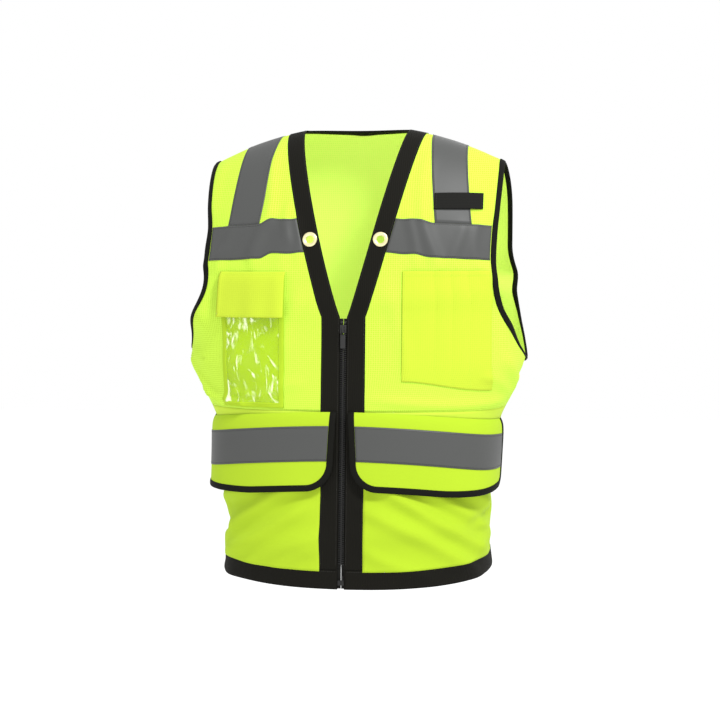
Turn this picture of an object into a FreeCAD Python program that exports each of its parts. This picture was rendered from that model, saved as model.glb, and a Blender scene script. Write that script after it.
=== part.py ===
import FreeCAD, Part
import math
import os

from FreeCAD import Vector

# A zip-front high visibility vest in the shape it has when worn. Millimetres.
# +Z is up, the wearer faces -Y, and +X is the wearer's left.
# The origin is the middle of the line over the shoulders, at the neck.
# Every cloth piece is a thin closed solid that follows one smooth body shape, at its own
# distance out from it. The left pieces are mirror images of the right ones.

# --- driving dimensions -----------------------------------------------------------------
TAPE = 50.8                 # reflective tape, two inches wide
TRIM = 27.0                 # black ribbed band beside the V neck and the zip
BINDING = 9.5               # black edging of armholes and flaps
CLOTH = 0.9                 # thickness of one layer of cloth
THIN = 0.5                  # thickness of tape and of other light layers
GAP = 0.3                   # clearance between neighbours
LAYER = 0.4                 # clearance between one layer of cloth and the next
EDGE_GAP = 1.5              # space between a cloth and the edging of its curved side
FRONT_EDGING_FOOT, BACK_EDGING_FOOT = 6.0, 20.0     # from the armpit up to the edgings

ROUND = 2.4                 # exponent of the body's sections, 2 for an ellipse
SHOULDER_DROP = 46.0        # fall of the shoulder line at 200 mm from the middle
NECK_HALF, SHOULDER_HALF = 78.0, 221.0
NECK_BACK = 45.0            # how far behind the origin the back neck edge lies
ARMPIT_Z, WAIST_Z, HEM_Z, HEM_DIP = -346.0, -417.0, -661.0, 10.0
HEM_BAND = 28.0
FRONT_DEPTH, FRONT_FLARE, FRONT_TOP_Z, FRONT_CURVE = 140.0, 0.07, -270.0, 1.9
BACK_DEPTH, BACK_TOP_Z, BACK_CURVE = 125.0, -338.0, 3.0
WIDTHS = [(HEM_Z, 203.0), (-597.0, 195.0), (-549.0, 198.0), (-490.0, 203.0),
          (-435.0, 214.0), (-390.0, 236.0), (ARMPIT_Z, 253.0)]   # height, half width

V_BOTTOM_Z = -281.0
ARMHOLE_X, ARMHOLE_BACK_X = 214.0, 228.0    # the narrowest places of the two edges
EDGE_HALF = 5.0             # half the space between the two front trims over the zip
CHEST_TAPE_TOP = -139.0
CHEST_TAPE_FALL = 10.0      # how much lower the chest tape is at the armhole
SHOULDER_TAPE_TOP_X, SHOULDER_TAPE_LOW_X = 137.0, 152.0
GROMMET_X, GROMMET_Z, GROMMET_HOLE_R, GROMMET_FLANGE_R = 51.5, -170.0, 5.75, 11.0
ID_X, ID_WIDTH, ID_TOP_Z, ID_BOTTOM_Z, ID_FLAP_DROP = 135.0, 96.0, -217.0, -413.0, 68.0
PEN_IN_X, PEN_OUT_X, PEN_TOP_Z, PEN_BOTTOM_Z = 84.0, 208.0, -215.0, -380.0
MIC_IN_X, MIC_OUT_X, MIC_TOP_Z, MIC_WIDTH = 125.0, 193.0, -104.0, 23.0
FLAP_IN_X, FLAP_SIDE_ANGLE, FLAP_DROP, FLAP_FALL = 12.0, 84.0, 114.0, 18.0
FLAP_CORNER_IN, FLAP_CORNER_OUT = 30.0, 18.0    # radii of the flap's two lower corners
FLAP_TAPE_DROP = 20.0       # from the flap's seam to its tape
EDGING_START = 1.5          # from the flap's seam to the ends of its edging
POCKET_LIP = 16.0           # from the flap's seam down to the lower pocket's open top
SIDE_GAP_DEG = 0.35         # half the space between front and back at the side seam

PAD_SPAN = (120.0, 160.0)   # where the flap's pads lie, along the seam
OVER_MESH = (CLOTH + LAYER, CLOTH + LAYER + THIN)   # distances out of a tape on the mesh
RIM = (-0.8, 2 * CLOTH + 0.8)                   # and of an edging round the mesh's rim

ZIP_TOP_Z, ZIP_LOW_Z = V_BOTTOM_Z - 2.0, HEM_Z - 4.0
TOOTH_IN, TOOTH_OUT, TOOTH_THICK = 0.8, 4.2, 2.8
ZIP_TAPE_OUT = 16.0
SLIDER_WIDTH, SLIDER_LENGTH, SLIDER_PLATE = 9.4, 12.0, 1.3


# --- the body shape ---------------------------------------------------------------------
def half_width(level):
    """Half the body's width at a height: a smooth curve through WIDTHS."""
    if level >= WIDTHS[-1][0]:
        return WIDTHS[-1][1]
    level = max(level, WIDTHS[0][0])
    slopes = []
    for i in range(len(WIDTHS)):
        low, high = WIDTHS[max(i - 1, 0)], WIDTHS[min(i + 1, len(WIDTHS) - 1)]
        slopes.append((high[1] - low[1]) / (high[0] - low[0]))
    slopes[-1] = 0.0
    i = max(k for k in range(len(WIDTHS) - 1) if WIDTHS[k][0] <= level)
    (z0, a0), (z1, a1) = WIDTHS[i], WIDTHS[i + 1]
    step = z1 - z0
    t = (level - z0) / step
    return ((2 * t**3 - 3 * t**2 + 1) * a0 + (t**3 - 2 * t**2 + t) * step * slopes[i]
            + (3 * t**2 - 2 * t**3) * a1 + (t**3 - t**2) * step * slopes[i + 1])


def shoulder_z(x):
    """Height of the line over the shoulder."""
    return -SHOULDER_DROP * (x / 200.0) ** 2


def dome(level, back):
    """(height fraction, depth fraction) of the rounded top, from a level of top_z to 0."""
    top_z, curve = (BACK_TOP_Z, BACK_CURVE) if back else (FRONT_TOP_Z, FRONT_CURVE)
    turn = max(0.0, min(1.0, 1 - level / top_z)) * math.pi / 2
    return math.sin(turn) ** (2 / curve), max(math.cos(turn), 0.0) ** (2 / curve)


def body_point(angle, level):
    """A point of the body. The angle is 0 at the front, 90 at the wearer's left side and
    180 at the back. The level is the height, up to the chest, and above that it runs
    evenly round to 0 on the line over the shoulders."""
    back = abs(angle) > 90
    top_z = BACK_TOP_Z if back else FRONT_TOP_Z
    a = math.radians(angle)
    scale = (abs(math.sin(a)) ** ROUND + abs(math.cos(a)) ** ROUND) ** (-1 / ROUND)
    x = half_width(level) * scale * math.sin(a)
    depth = BACK_DEPTH if back else FRONT_DEPTH + FRONT_FLARE * max(top_z - level, 0.0)
    rise, reach = dome(level, back)
    if level > top_z:
        z = top_z + (shoulder_z(x) - top_z) * rise
    else:
        z = level
    return Vector(x, -depth * reach * scale * math.cos(a), z)


def angle_at(x, level, back=False):
    """The angle where the body is x from the middle."""
    part = min(abs(x) / half_width(level), 1.0)
    depth = (1 - part**ROUND) ** (1 / ROUND)
    angle = math.degrees(math.atan2(part, depth))
    return math.copysign(180 - angle if back else angle, x)


def level_at(x, z, back=False):
    """The level where the body at x has the height z."""
    top_z, curve = (BACK_TOP_Z, BACK_CURVE) if back else (FRONT_TOP_Z, FRONT_CURVE)
    if z <= top_z:
        return z
    rise = min((z - top_z) / (shoulder_z(x) - top_z), 1.0)
    return top_z * (1 - math.asin(rise ** (curve / 2)) / (math.pi / 2))


def placed(angle, level, out):
    """The point that stands out from the body by so much, square to it."""
    turn, rise = 0.2, 0.5
    top = min(level + rise, -0.01)
    across = body_point(angle + turn, level) - body_point(angle - turn, level)
    up = body_point(angle, top) - body_point(angle, top - 2 * rise)
    normal = across.cross(up).normalize()
    return body_point(angle, level) + normal * out


# --- thin solids ------------------------------------------------------------------------
def spline_face(rows):
    surface = Part.BSplineSurface()
    surface.interpolate(rows)
    return surface


def edges_of(surface):
    u0, u1, v0, v1 = surface.bounds()
    return [curve.toShape() for curve in (surface.uIso(u0), surface.uIso(u1),
                                          surface.vIso(v0), surface.vIso(v1))]


def between(low, high):
    """The closed solid between two grids of points of one size."""
    skins = [spline_face(low), spline_face(high)]
    faces = [skin.toShape() for skin in skins]
    faces += [Part.makeRuledSurface(a, b) for a, b in zip(*map(edges_of, skins))]
    shell = Part.makeShell(faces)
    shell.sewShape()
    solid = Part.makeSolid(shell)
    return solid if solid.Volume > 0 else solid.reversed()


def cloth(place, inner, outer, columns=9, rows=9):
    """A sheet. place(u, v) gives (angle, level) for u and v from 0 to 1. inner and outer
    are its distances out from the body, as numbers or as functions of u and v."""
    def grid(out):
        return [[placed(*place(u, v), out(u, v) if callable(out) else out)
                 for u in steps(columns)] for v in steps(rows)]
    return between(grid(inner), grid(outer))


def steps(count):
    return [i / (count - 1) for i in range(count)]


def mix(a, b, t):
    return a + (b - a) * t


def smooth(t):
    t = max(0.0, min(1.0, t))
    return t * t * (3 - 2 * t)


def mirrored(shape):
    return shape.mirror(Vector(0, 0, 0), Vector(1, 0, 0))


# --- outlines ---------------------------------------------------------------------------
# A side edge is a function of the level and gives an angle. A lower or upper edge is a
# function of the angle and gives a level.
RIDGE = -0.5                # level of the shoulder seam, just short of the very top
SIDE = 90 - SIDE_GAP_DEG
SIDE_BACK = 90 + SIDE_GAP_DEG


def along(edge, back=False):
    """The side edge that has x = edge(z)."""
    def angle(level):
        x = edge(level)
        for _ in range(6):
            x = edge(body_point(angle_at(x, level, back), level).z)
        return angle_at(x, level, back)
    return angle


def at_height(line, back=False):
    """The lower or upper edge that has z = line(x)."""
    def level(angle):
        found = line(0.0)
        for _ in range(4):
            x = body_point(angle, found).x
            found = level_at(x, line(abs(x)), back)
        return found
    return level


def region(inner, outer, low, high):
    """(angle, level) over the area between two side edges, a lower and an upper edge."""
    def place(u, v):
        angle = mix(inner(ARMPIT_Z), outer(ARMPIT_Z), u)
        for _ in range(6):
            level = mix(low(angle), high(angle), v)
            angle = mix(inner(level), outer(level), u)
        return angle, level
    return place


def constant(value):
    return lambda _: value


def trim_inner(z, out=0.0):
    """x of the inner edge of the V neck and, below it, of the front edge."""
    t = max(0.0, (z - V_BOTTOM_Z) / (shoulder_z(NECK_HALF) - V_BOTTOM_Z))
    return mix(EDGE_HALF, NECK_HALF, min(t, 1.0) ** 0.9) + out


def trim_outer(z):
    return trim_inner(z, TRIM)


def armhole_x(z, inset=0.0):
    """x of the front armhole edge, from the armpit to the shoulder."""
    t = (z - ARMPIT_Z) / (shoulder_z(SHOULDER_HALF) - ARMPIT_Z)
    scoop = (half_width(ARMPIT_Z) - 0.2 - ARMHOLE_X) * (1 - smooth(t / 0.4))
    return ARMHOLE_X + scoop + (SHOULDER_HALF - ARMHOLE_X) * smooth((t - 0.5) / 0.5) - inset


def front_side(inset=0.0):
    """The front's outer edge: the side seam, and the armhole above it."""
    def angle(level):
        if level <= ARMPIT_Z:
            return SIDE
        cut = inset * smooth((level - ARMPIT_Z) / 25)
        return min(along(lambda z: armhole_x(z, cut))(level), SIDE)
    return angle


def hem_z(angle):
    """Height of the lower edge, a little lower at the front and back."""
    return HEM_Z - HEM_DIP * abs(math.cos(math.radians(angle))) ** 1.5


def hem_top(angle):
    return hem_z(angle) + HEM_BAND


def chest_tape_top(x):
    return CHEST_TAPE_TOP - CHEST_TAPE_FALL * (x / 200.0) ** 2


def shoulder_tape_x(z, side):
    """x of the inner (side -1) or outer (side 1) edge of a shoulder tape."""
    t = z / CHEST_TAPE_TOP
    return mix(SHOULDER_TAPE_TOP_X, SHOULDER_TAPE_LOW_X, max(0.0, min(t, 1.2))) + side * TAPE / 2


# --- back -------------------------------------------------------------------------------
def back_top_level(x):
    """Top edge of the back mesh: over the shoulder, and round under the neck band."""
    reach = 0.02 + 0.44 * math.exp(-((x / 80.0) ** 2))
    return BACK_TOP_Z * (1 - math.acos(reach ** (BACK_CURVE / 2)) / (math.pi / 2))


def armhole_back(level):
    """x of the back armhole edge, from the armpit to the shoulder."""
    t = 1 - level / ARMPIT_Z
    scoop = mix(half_width(ARMPIT_Z) - 0.2, ARMHOLE_BACK_X, smooth(t / 0.3))
    return mix(scoop, SHOULDER_HALF, smooth((t - 0.5) / 0.5))


def back_side(inset=0.0):
    """The back's edge: the side seam, and the armhole above it."""
    def angle(level):
        if level <= ARMPIT_Z:
            return SIDE_BACK
        cut = inset * smooth((level - ARMPIT_Z) / 25)
        return max(angle_at(armhole_back(level) - cut, level, back=True), SIDE_BACK)
    return angle


def across_back(angle):
    """The same place on the wearer's right."""
    return 360 - angle


def wrap(angle):
    return angle if angle <= 180 else angle - 360


def back_sheet(side, low, high, inner, outer, columns=25, rows=7):
    """A sheet right across the back, from the left edge to the right one."""
    def place(u, v):
        angle = mix(90.0, 270.0, u)
        for _ in range(4):
            level = mix(low(wrap(angle)), high(wrap(angle)), v)
            angle = mix(side(level), across_back(side(level)), u)
        return wrap(angle), level
    return cloth(place, inner, outer, columns, rows)


def back_mesh():
    """From the waist over the shoulder blades to the line over the shoulders."""
    def high(angle):
        return back_top_level(body_point(angle, ARMPIT_Z).x)
    return back_sheet(back_side(BINDING), constant(WAIST_Z + GAP), high, 0.0, CLOTH, 33, 37)


def back_lower_panel():
    side = constant(SIDE_BACK)
    return back_sheet(side, lambda a: hem_top(a) + GAP, constant(WAIST_Z - GAP), 0.0, CLOTH, 33, 17)


def back_hem_band():
    return back_sheet(constant(SIDE_BACK), hem_z, hem_top, -CLOTH, CLOTH + THIN, 33, 4)


def back_chest_tape():
    def high(angle):
        return level_at(0.0, CHEST_TAPE_TOP, back=True)

    def low(angle):
        return high(angle) - TAPE
    return back_sheet(back_side(BINDING + GAP), low, high, *OVER_MESH, 33, 5)


def back_waist_tape():
    top = WAIST_Z - FLAP_TAPE_DROP
    return back_sheet(constant(SIDE_BACK), constant(top - TAPE), constant(top), *OVER_MESH, 33, 7)


def back_shoulder_tape():
    """From the shoulder seam down to the tape across the back."""
    top = level_at(0.0, CHEST_TAPE_TOP, back=True) + GAP

    def edge(side):
        def angle(level):
            t = min(level / top, 1.0)
            x = mix(SHOULDER_TAPE_TOP_X, SHOULDER_TAPE_TOP_X - 22.0, t) + side * TAPE / 2
            return angle_at(x, level, back=True)
        return angle
    place = region(edge(1), edge(-1), constant(top), constant(2 * RIDGE))
    return cloth(place, *OVER_MESH, 5, 15)


def back_armhole_binding():
    side, inside = back_side(), back_side(BINDING - 2 * EDGE_GAP)
    place = region(side, inside, constant(ARMPIT_Z + BACK_EDGING_FOOT), constant(2 * RIDGE))
    return cloth(place, *RIM, 3, 33)


def back_neck_band():
    """Round the back of the neck, from shoulder seam to shoulder seam."""
    def place(u, v):
        turn = mix(0.03, math.pi - 0.03, u)
        x = mix(NECK_HALF, NECK_HALF + TRIM, v) * math.cos(turn)
        y = mix(NECK_BACK, NECK_BACK + 0.8 * TRIM, v) * math.sin(turn)
        depth = BACK_DEPTH * (1 - abs(x / half_width(0.0)) ** ROUND) ** (1 / ROUND)
        reach = (y / depth) ** (BACK_CURVE / 2)
        level = BACK_TOP_Z * (1 - math.acos(reach) / (math.pi / 2))
        return angle_at(x, level, back=True), min(level, 2 * RIDGE)
    return cloth(place, CLOTH + LAYER, 2 * CLOTH + LAYER, 25, 4)


# --- fronts, made for the wearer's left side --------------------------------------------
def mesh_inner(z):
    """The mesh is sewn under the outer margin of the trim."""
    return trim_inner(z, TRIM - 1.0)


def front_mesh():
    place = region(along(mesh_inner), front_side(BINDING),
                   constant(WAIST_Z + GAP), constant(RIDGE))
    return cloth(place, 0.0, CLOTH, 17, 33)


def pierced(shape):
    """With the grommet's hole through it."""
    centre, normal = grommet_frame()
    return shape.cut(Part.makeCylinder(GROMMET_HOLE_R + 0.6, 20.0, centre - normal * 10, normal))


def trim():
    """The black band down the V neck and beside the zip."""
    place = region(along(trim_inner), along(trim_outer),
                   lambda a: hem_top(a) + GAP, constant(RIDGE))
    return pierced(cloth(place, CLOTH + LAYER, 2 * CLOTH + LAYER, 5, 41))


def pocket_lining():
    """The inner wall of the big lower pocket."""
    place = region(along(constant(ZIP_TAPE_OUT + GAP)), constant(SIDE),
                   lambda a: hem_top(a) + GAP, constant(WAIST_Z - GAP))
    return cloth(place, 0.0, CLOTH, 17, 17)


def bulge(low, high, power=0.5):
    """Distance out: low at the edges of a sheet and high in its middle."""
    def out(u, v):
        return low + (high - low) * (math.sin(math.pi * u) * math.sin(math.pi * v)) ** power
    return out


def pouch(low, high):
    """Distance out: low at the sides and foot of a pocket and high at its open top."""
    def out(u, v):
        return low + (high - low) * math.sin(math.pi * u) ** 0.6 * math.sin(math.pi * v / 2)
    return out


def lower_panel():
    """The outer wall of the lower pocket, open at its top under the flap."""
    place = region(along(constant(EDGE_HALF + TRIM + GAP)), constant(SIDE),
                   lambda a: hem_top(a) + GAP, lambda a: seam_z(a) - POCKET_LIP)
    return cloth(place, pouch(1.7, 4.4), pouch(1.7 + CLOTH, 4.4 + CLOTH), 17, 17)


def hem_band():
    place = region(along(constant(EDGE_HALF)), constant(SIDE), hem_z, hem_top)
    return cloth(place, -CLOTH, CLOTH + THIN, 17, 4)


def chest_tape():
    low = at_height(lambda x: chest_tape_top(x) - TAPE + 1.5)
    high = at_height(chest_tape_top)
    place = region(along(lambda z: trim_outer(z) + GAP), front_side(BINDING + GAP), low, high)
    return cloth(place, *OVER_MESH, 17, 5)


def shoulder_tape():
    place = region(along(lambda z: shoulder_tape_x(z, -1)), along(lambda z: shoulder_tape_x(z, 1)),
                   at_height(lambda x: chest_tape_top(x) + GAP), constant(RIDGE))
    return cloth(place, *OVER_MESH, 5, 15)


def armhole_binding():
    place = region(front_side(BINDING - EDGE_GAP), front_side(),
                   constant(ARMPIT_Z + FRONT_EDGING_FOOT), constant(RIDGE))
    return cloth(place, *RIM, 3, 33)


def frame_at(x, z, out=0.0):
    """A point so far out from the front, and the direction square to the cloth there."""
    level = level_at(x, z)
    angle = angle_at(x, level)
    point = placed(angle, level, out)
    return point, (placed(angle, level, out + 1.0) - point).normalize()


def grommet_frame():
    return frame_at(GROMMET_X, GROMMET_Z)


def ring(profile, centre, normal):
    """A turned ring from (radius, height) corners, about the normal at the centre."""
    points = [Vector(r, 0, h) for r, h in profile]
    face = Part.Face(Part.makePolygon(points + points[:1]))
    solid = face.revolve(Vector(0, 0, 0), Vector(0, 0, 1), 360)
    turn = FreeCAD.Rotation(Vector(0, 0, 1), normal)
    solid.Placement = FreeCAD.Placement(centre, turn)
    return solid


def grommet():
    """The eyelet: a barrel with a domed flange on the outside."""
    flange, hole = GROMMET_FLANGE_R, GROMMET_HOLE_R
    low, top = 2 * CLOTH + 0.6, 2 * CLOTH + 2.2
    return ring([(hole, -1.4), (hole + 0.5, -1.4), (hole + 0.5, low), (flange, low),
                 (flange, low + 0.5), (flange - 2.5, top), (hole + 0.8, top), (hole, top - 0.8)],
                *grommet_frame())


def grommet_washer():
    """The flat ring behind the cloth."""
    return ring([(GROMMET_HOLE_R + 0.55, 0.8), (GROMMET_FLANGE_R, 0.8),
                 (GROMMET_FLANGE_R, 0.1), (GROMMET_HOLE_R + 0.55, 0.1)], *grommet_frame())


# --- the zip: one straight chain down the front -----------------------------------------
def chain_frame():
    """(top point, foot point) of the middle of the chain."""
    return body_point(0.0, ZIP_TOP_Z), body_point(0.0, ZIP_LOW_Z)


def chain_axes():
    """(down the chain, out from the body)."""
    top, foot = chain_frame()
    down = (foot - top).normalize()
    return down, down.cross(Vector(1, 0, 0)).normalize()


def beside_chain(x0, x1, t0, t1, out0, out1):
    """A block along the chain: across, down (mm from its top), and out from the body."""
    down, out = chain_axes()
    corner = chain_frame()[0] + Vector(x0, 0, 0) + down * t1 + out * out1
    block = Part.makeBox(x1 - x0, out1 - out0, t1 - t0)
    turn = FreeCAD.Rotation(Vector(1, 0, 0), out * -1, down * -1, "XYZ")
    block.Placement = FreeCAD.Placement(corner, turn)
    return block


def chain_length():
    top, foot = chain_frame()
    return (foot - top).Length


def zip_teeth():
    """One side's row of teeth, as one strip as thick as the teeth."""
    half = TOOTH_THICK / 2
    return beside_chain(TOOTH_IN, TOOTH_OUT, 8.0, chain_length() - 14.0, -half, half)


def zip_tape():
    end = chain_length() - HEM_BAND + 4.0
    return beside_chain(TOOTH_OUT + 0.1, ZIP_TAPE_OUT, 0.0, end, -0.3, 0.3)


def top_stop():
    return beside_chain(TOOTH_IN, TOOTH_OUT, 4.0, 7.5, -1.6, 1.6)


def insertion_pin():
    end = chain_length()
    return beside_chain(TOOTH_IN, TOOTH_OUT - 0.4, end - 13.5, end - 1.0, -1.0, 1.0)


def retainer_box():
    """On the right front's tape: the block that the pin goes down into."""
    end = chain_length()
    block = beside_chain(-TOOTH_OUT, EDGE_HALF - 0.3, end - 7.0, end, -2.2, 2.2)
    socket = beside_chain(TOOTH_IN - 0.4, TOOTH_OUT + 0.1, end - 7.1, end - 0.6, -1.4, 1.4)
    return block.cut(socket)


def zip_slider():
    """Two plates joined by a thin post between the rows, with a loop for the puller."""
    half, clear = SLIDER_WIDTH / 2, TOOTH_THICK / 2 + 0.35
    far = clear + SLIDER_PLATE
    start, end = 9.0, 9.0 + SLIDER_LENGTH
    body = beside_chain(-half, half, start, end, clear, far)
    body = body.fuse(beside_chain(-half, half, start, end, -far, -clear))
    body = body.fuse(beside_chain(-0.35, 0.35, start, start + 5.0, -clear - 0.1, clear + 0.1))
    lug = beside_chain(-1.6, 1.6, start + 1.0, end - 1.0, far - 0.1, far + 3.6)
    bore = beside_chain(-2.0, 2.0, start + 3.4, end - 3.4, far + 0.4, far + 2.6)
    return body.fuse(lug.cut(bore)).removeSplitter()


def zip_puller():
    """A flat tab that hangs from the slider's loop by its own eye."""
    far = TOOTH_THICK / 2 + 0.35 + SLIDER_PLATE
    pivot = 9.0 + SLIDER_LENGTH / 2
    cross = beside_chain(-2.6, 2.6, pivot - 0.7, pivot + 0.7, far + 0.8, far + 2.2)
    for side in (-1, 1):
        inner, outer = sorted((side * 1.9, side * 3.1))
        cross = cross.fuse(beside_chain(inner, outer, pivot - 0.7, pivot + 9.6,
                                        far + 0.8, far + 2.2))
    tab = beside_chain(-3.6, 3.6, pivot + 8.6, pivot + 28.0, far + 0.8, far + 2.2)
    return cross.fuse(tab).removeSplitter()


# --- pockets, tab and flaps -------------------------------------------------------------
def block_region(in_x, out_x, low_z, high_z):
    return region(along(constant(in_x)), along(constant(out_x)),
                  at_height(constant(low_z)), at_height(constant(high_z)))


def id_place(inset=0.0):
    half = ID_WIDTH / 2 - inset
    return block_region(ID_X - half, ID_X + half, ID_BOTTOM_Z + inset, ID_TOP_Z - 2.0 - inset)


def id_backing():
    return cloth(id_place(), OVER_MESH[0] + LAYER, OVER_MESH[1] + LAYER, 11, 25)


def id_window():
    """The clear front of the card pocket, open at its top."""
    half = ID_WIDTH / 2 - 6.0
    place = block_region(ID_X - half, ID_X + half, ID_BOTTOM_Z + 6.0, ID_TOP_Z - 20.0)
    return cloth(place, pouch(2.9, 5.0), pouch(3.3, 5.4), 11, 25)


def flap_stand(drop, lean):
    """How far a flap stands out from its seam: over the pocket's rim, then leaning out."""
    return 2.2 + 5.4 * (1 - math.exp(-drop / 6.0)) + lean * drop


def hanging(angle, z, drop, lean, out):
    """A point of a flap that hangs from its seam at this angle and height."""
    level = level_at(body_point(angle, z).x, z)
    point = placed(angle, level, flap_stand(drop, lean) + out)
    return point - Vector(0, 0, drop)


def id_flap_sheet(half, drops, inner, outer):
    """Part of the card pocket's flap, from the first drop below its seam to the second."""
    def rows(out):
        grid = []
        for t in steps(9):
            angles = [angle_at(ID_X + mix(-half, half, u), ARMPIT_Z) for u in steps(7)]
            grid.append([hanging(a, ID_TOP_Z, mix(*drops, t), FRONT_FLARE, out)
                         for a in angles])
        return grid
    return between(rows(inner), rows(outer))


def id_flap():
    return id_flap_sheet(ID_WIDTH / 2 + 2, (0.0, ID_FLAP_DROP), 0.0, 1.2)


def id_flap_hook():
    return id_flap_sheet(12.0, (ID_FLAP_DROP - 18.0, ID_FLAP_DROP - 6.0), -0.6, -0.1)


def pencil_pocket():
    def outer(z):
        return min(PEN_OUT_X, armhole_x(max(z, ARMPIT_Z), BINDING + EDGE_GAP))
    place = region(along(constant(PEN_IN_X)), along(outer),
                   at_height(constant(PEN_BOTTOM_Z)), at_height(constant(PEN_TOP_Z)))
    return cloth(place, pouch(1.7, 4.2), pouch(1.7 + CLOTH, 4.2 + CLOTH), 11, 13)


def mic_tab():
    place = block_region(MIC_IN_X, MIC_OUT_X, MIC_TOP_Z - MIC_WIDTH, MIC_TOP_Z)
    return cloth(place, bulge(2.4, 3.4), bulge(3.8, 4.8), 9, 4)


# A lower flap is drawn flat, as (distance along the seam from the middle, drop), and then
# hangs from the seam at the waist.
def seam_lengths():
    """Distance along the waist from the middle of the front, every half degree."""
    lengths = [0.0]
    for half_degree in range(180):
        a, b = (body_point(n / 2, WAIST_Z) for n in (half_degree, half_degree + 1))
        lengths.append(lengths[-1] + (b - a).Length)
    return lengths


SEAM = seam_lengths()


def seam_angle(length):
    i = max(k for k in range(180) if SEAM[k] <= max(length, 0.0))
    return min(90.0, (i + (length - SEAM[i]) / (SEAM[i + 1] - SEAM[i])) / 2)


def seam_z(angle):
    """Height of a lower flap's seam: it falls towards the side."""
    return WAIST_Z - FLAP_FALL * math.sin(math.radians(angle)) ** 2


def flap_points(pairs, out):
    """Where points of the flat flap come to when it hangs."""
    found = []
    for along_seam, drop in pairs:
        angle = seam_angle(along_seam)
        lean = FRONT_FLARE * (1 - 1.7 * smooth((angle - 50.0) / 34.0))   # inwards at the side
        found.append(hanging(angle, seam_z(angle), drop, lean, out))
    return found


def flap_outline(inset):
    """The free edge: down the zip side, round the corners, and up to the side's end."""
    left, right = FLAP_IN_X + inset, SEAM[int(2 * FLAP_SIDE_ANGLE)] - inset
    foot = FLAP_DROP - inset
    near, far = FLAP_CORNER_IN - inset, FLAP_CORNER_OUT - inset
    points = [(left, mix(EDGING_START, foot - near, t)) for t in steps(8)]
    points += arc(left + near, foot - near, near, 180.0, 90.0)
    points += [(mix(left + near, right - far, t), foot) for t in steps(12)[1:]]
    points += arc(right - far, foot - far, far, 90.0, 0.0)
    points += [(right, mix(foot - far, EDGING_START, t)) for t in steps(8)[1:]]
    return points


def arc(x, y, radius, start, end):
    turns = [math.radians(mix(start, end, t)) for t in steps(8)[1:]]
    return [(x + radius * math.cos(turn), y + radius * math.sin(turn)) for turn in turns]


def flap_panel():
    """Between its seam and the inside of its edging, drawn from end to end."""
    edge = flap_outline(BINDING + GAP / 2)
    foot = edge[7:-7]

    def rows(out):
        return [flap_points([(x, drop * t) for x, drop in foot], out) for t in flap_rows()]
    return between(rows(0.0), rows(CLOTH))


def flap_rows():
    """Shares of the drop, closer together near the seam."""
    return [t**1.7 for t in steps(14)]


def flap_binding():
    """The black edging of the flap's free edge."""
    outer, inner = flap_outline(0.0), flap_outline(BINDING - GAP / 2)

    def rows(out):
        return [flap_points(pairs, out) for pairs in (outer, inner)]
    return strip(rows(-0.6), rows(CLOTH + 0.6))


def strip(low, high):
    """A closed solid between two long narrow grids, ruled across their width."""
    def curve(line):
        spline = Part.BSplineCurve()
        spline.interpolate(line)
        return spline.toShape()
    a, b, c, d = (curve(line) for line in (*low, *high))
    faces = [Part.makeRuledSurface(*pair) for pair in ((a, b), (c, d), (a, c), (b, d))]
    for end in (0, -1):
        p, q, r, t = low[0][end], low[1][end], high[1][end], high[0][end]
        faces += [Part.Face(Part.makePolygon([p, q, r, p])),
                  Part.Face(Part.makePolygon([p, r, t, p]))]
    shell = Part.makeShell(faces)
    shell.sewShape()
    solid = Part.makeSolid(shell)
    return solid if solid.Volume > 0 else solid.reversed()


def flap_sheet(lengths, drops, inner, outer, columns=17, rows=5):
    """A rectangle of the flat flap, between two layers."""
    def grid(out):
        return [flap_points([(mix(*lengths, u), mix(*drops, v)) for u in steps(columns)], out)
                for v in steps(rows)]
    return between(grid(inner), grid(outer))


def flap_tape():
    lengths = (FLAP_IN_X + BINDING + GAP, SEAM[int(2 * FLAP_SIDE_ANGLE)] - BINDING - GAP)
    drops = (FLAP_TAPE_DROP, FLAP_TAPE_DROP + TAPE)
    return flap_sheet(lengths, drops, *OVER_MESH, 25, 6)


def flap_hook():
    """Hook pad on the inside of the flap, near its foot."""
    return flap_sheet(PAD_SPAN, (80.0, 100.0), -0.9, -0.1, 5, 4)


def pocket_loop():
    """Loop pad on the lower panel, behind the flap's hook pad."""
    place = region(constant(seam_angle(PAD_SPAN[0])), constant(seam_angle(PAD_SPAN[1])),
                   constant(WAIST_Z - 104.0), constant(WAIST_Z - 84.0))
    return cloth(place, 5.8, 6.5, 5, 4)


# --- output -----------------------------------------------------------------------------
BOTH_SIDES = {
    "front_mesh": front_mesh, "front_trim": trim, "pocket_lining": pocket_lining,
    "lower_panel": lower_panel, "hem_band": hem_band, "chest_tape": chest_tape,
    "shoulder_tape": shoulder_tape, "armhole_binding": armhole_binding,
    "grommet": grommet, "grommet_washer": grommet_washer, "zip_teeth": zip_teeth,
    "zip_tape": zip_tape, "zip_top_stop": top_stop, "pocket_loop": pocket_loop,
    "flap_panel": flap_panel, "flap_tape": flap_tape, "flap_binding": flap_binding,
    "flap_hook": flap_hook, "back_shoulder_tape": back_shoulder_tape,
    "back_armhole_binding": back_armhole_binding,
}
SINGLE = {
    "back_mesh": back_mesh, "back_lower_panel": back_lower_panel,
    "back_hem_band": back_hem_band, "back_chest_tape": back_chest_tape,
    "back_waist_tape": back_waist_tape, "back_neck_band": back_neck_band,
    "insertion_pin": insertion_pin, "pencil_pocket": pencil_pocket, "mic_tab": mic_tab,
    "zip_retainer_box": retainer_box, "zip_slider": zip_slider, "zip_puller": zip_puller,
}
ON_THE_RIGHT = {
    "id_backing": id_backing, "id_window": id_window, "id_flap": id_flap,
    "id_flap_hook": id_flap_hook,
}


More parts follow.
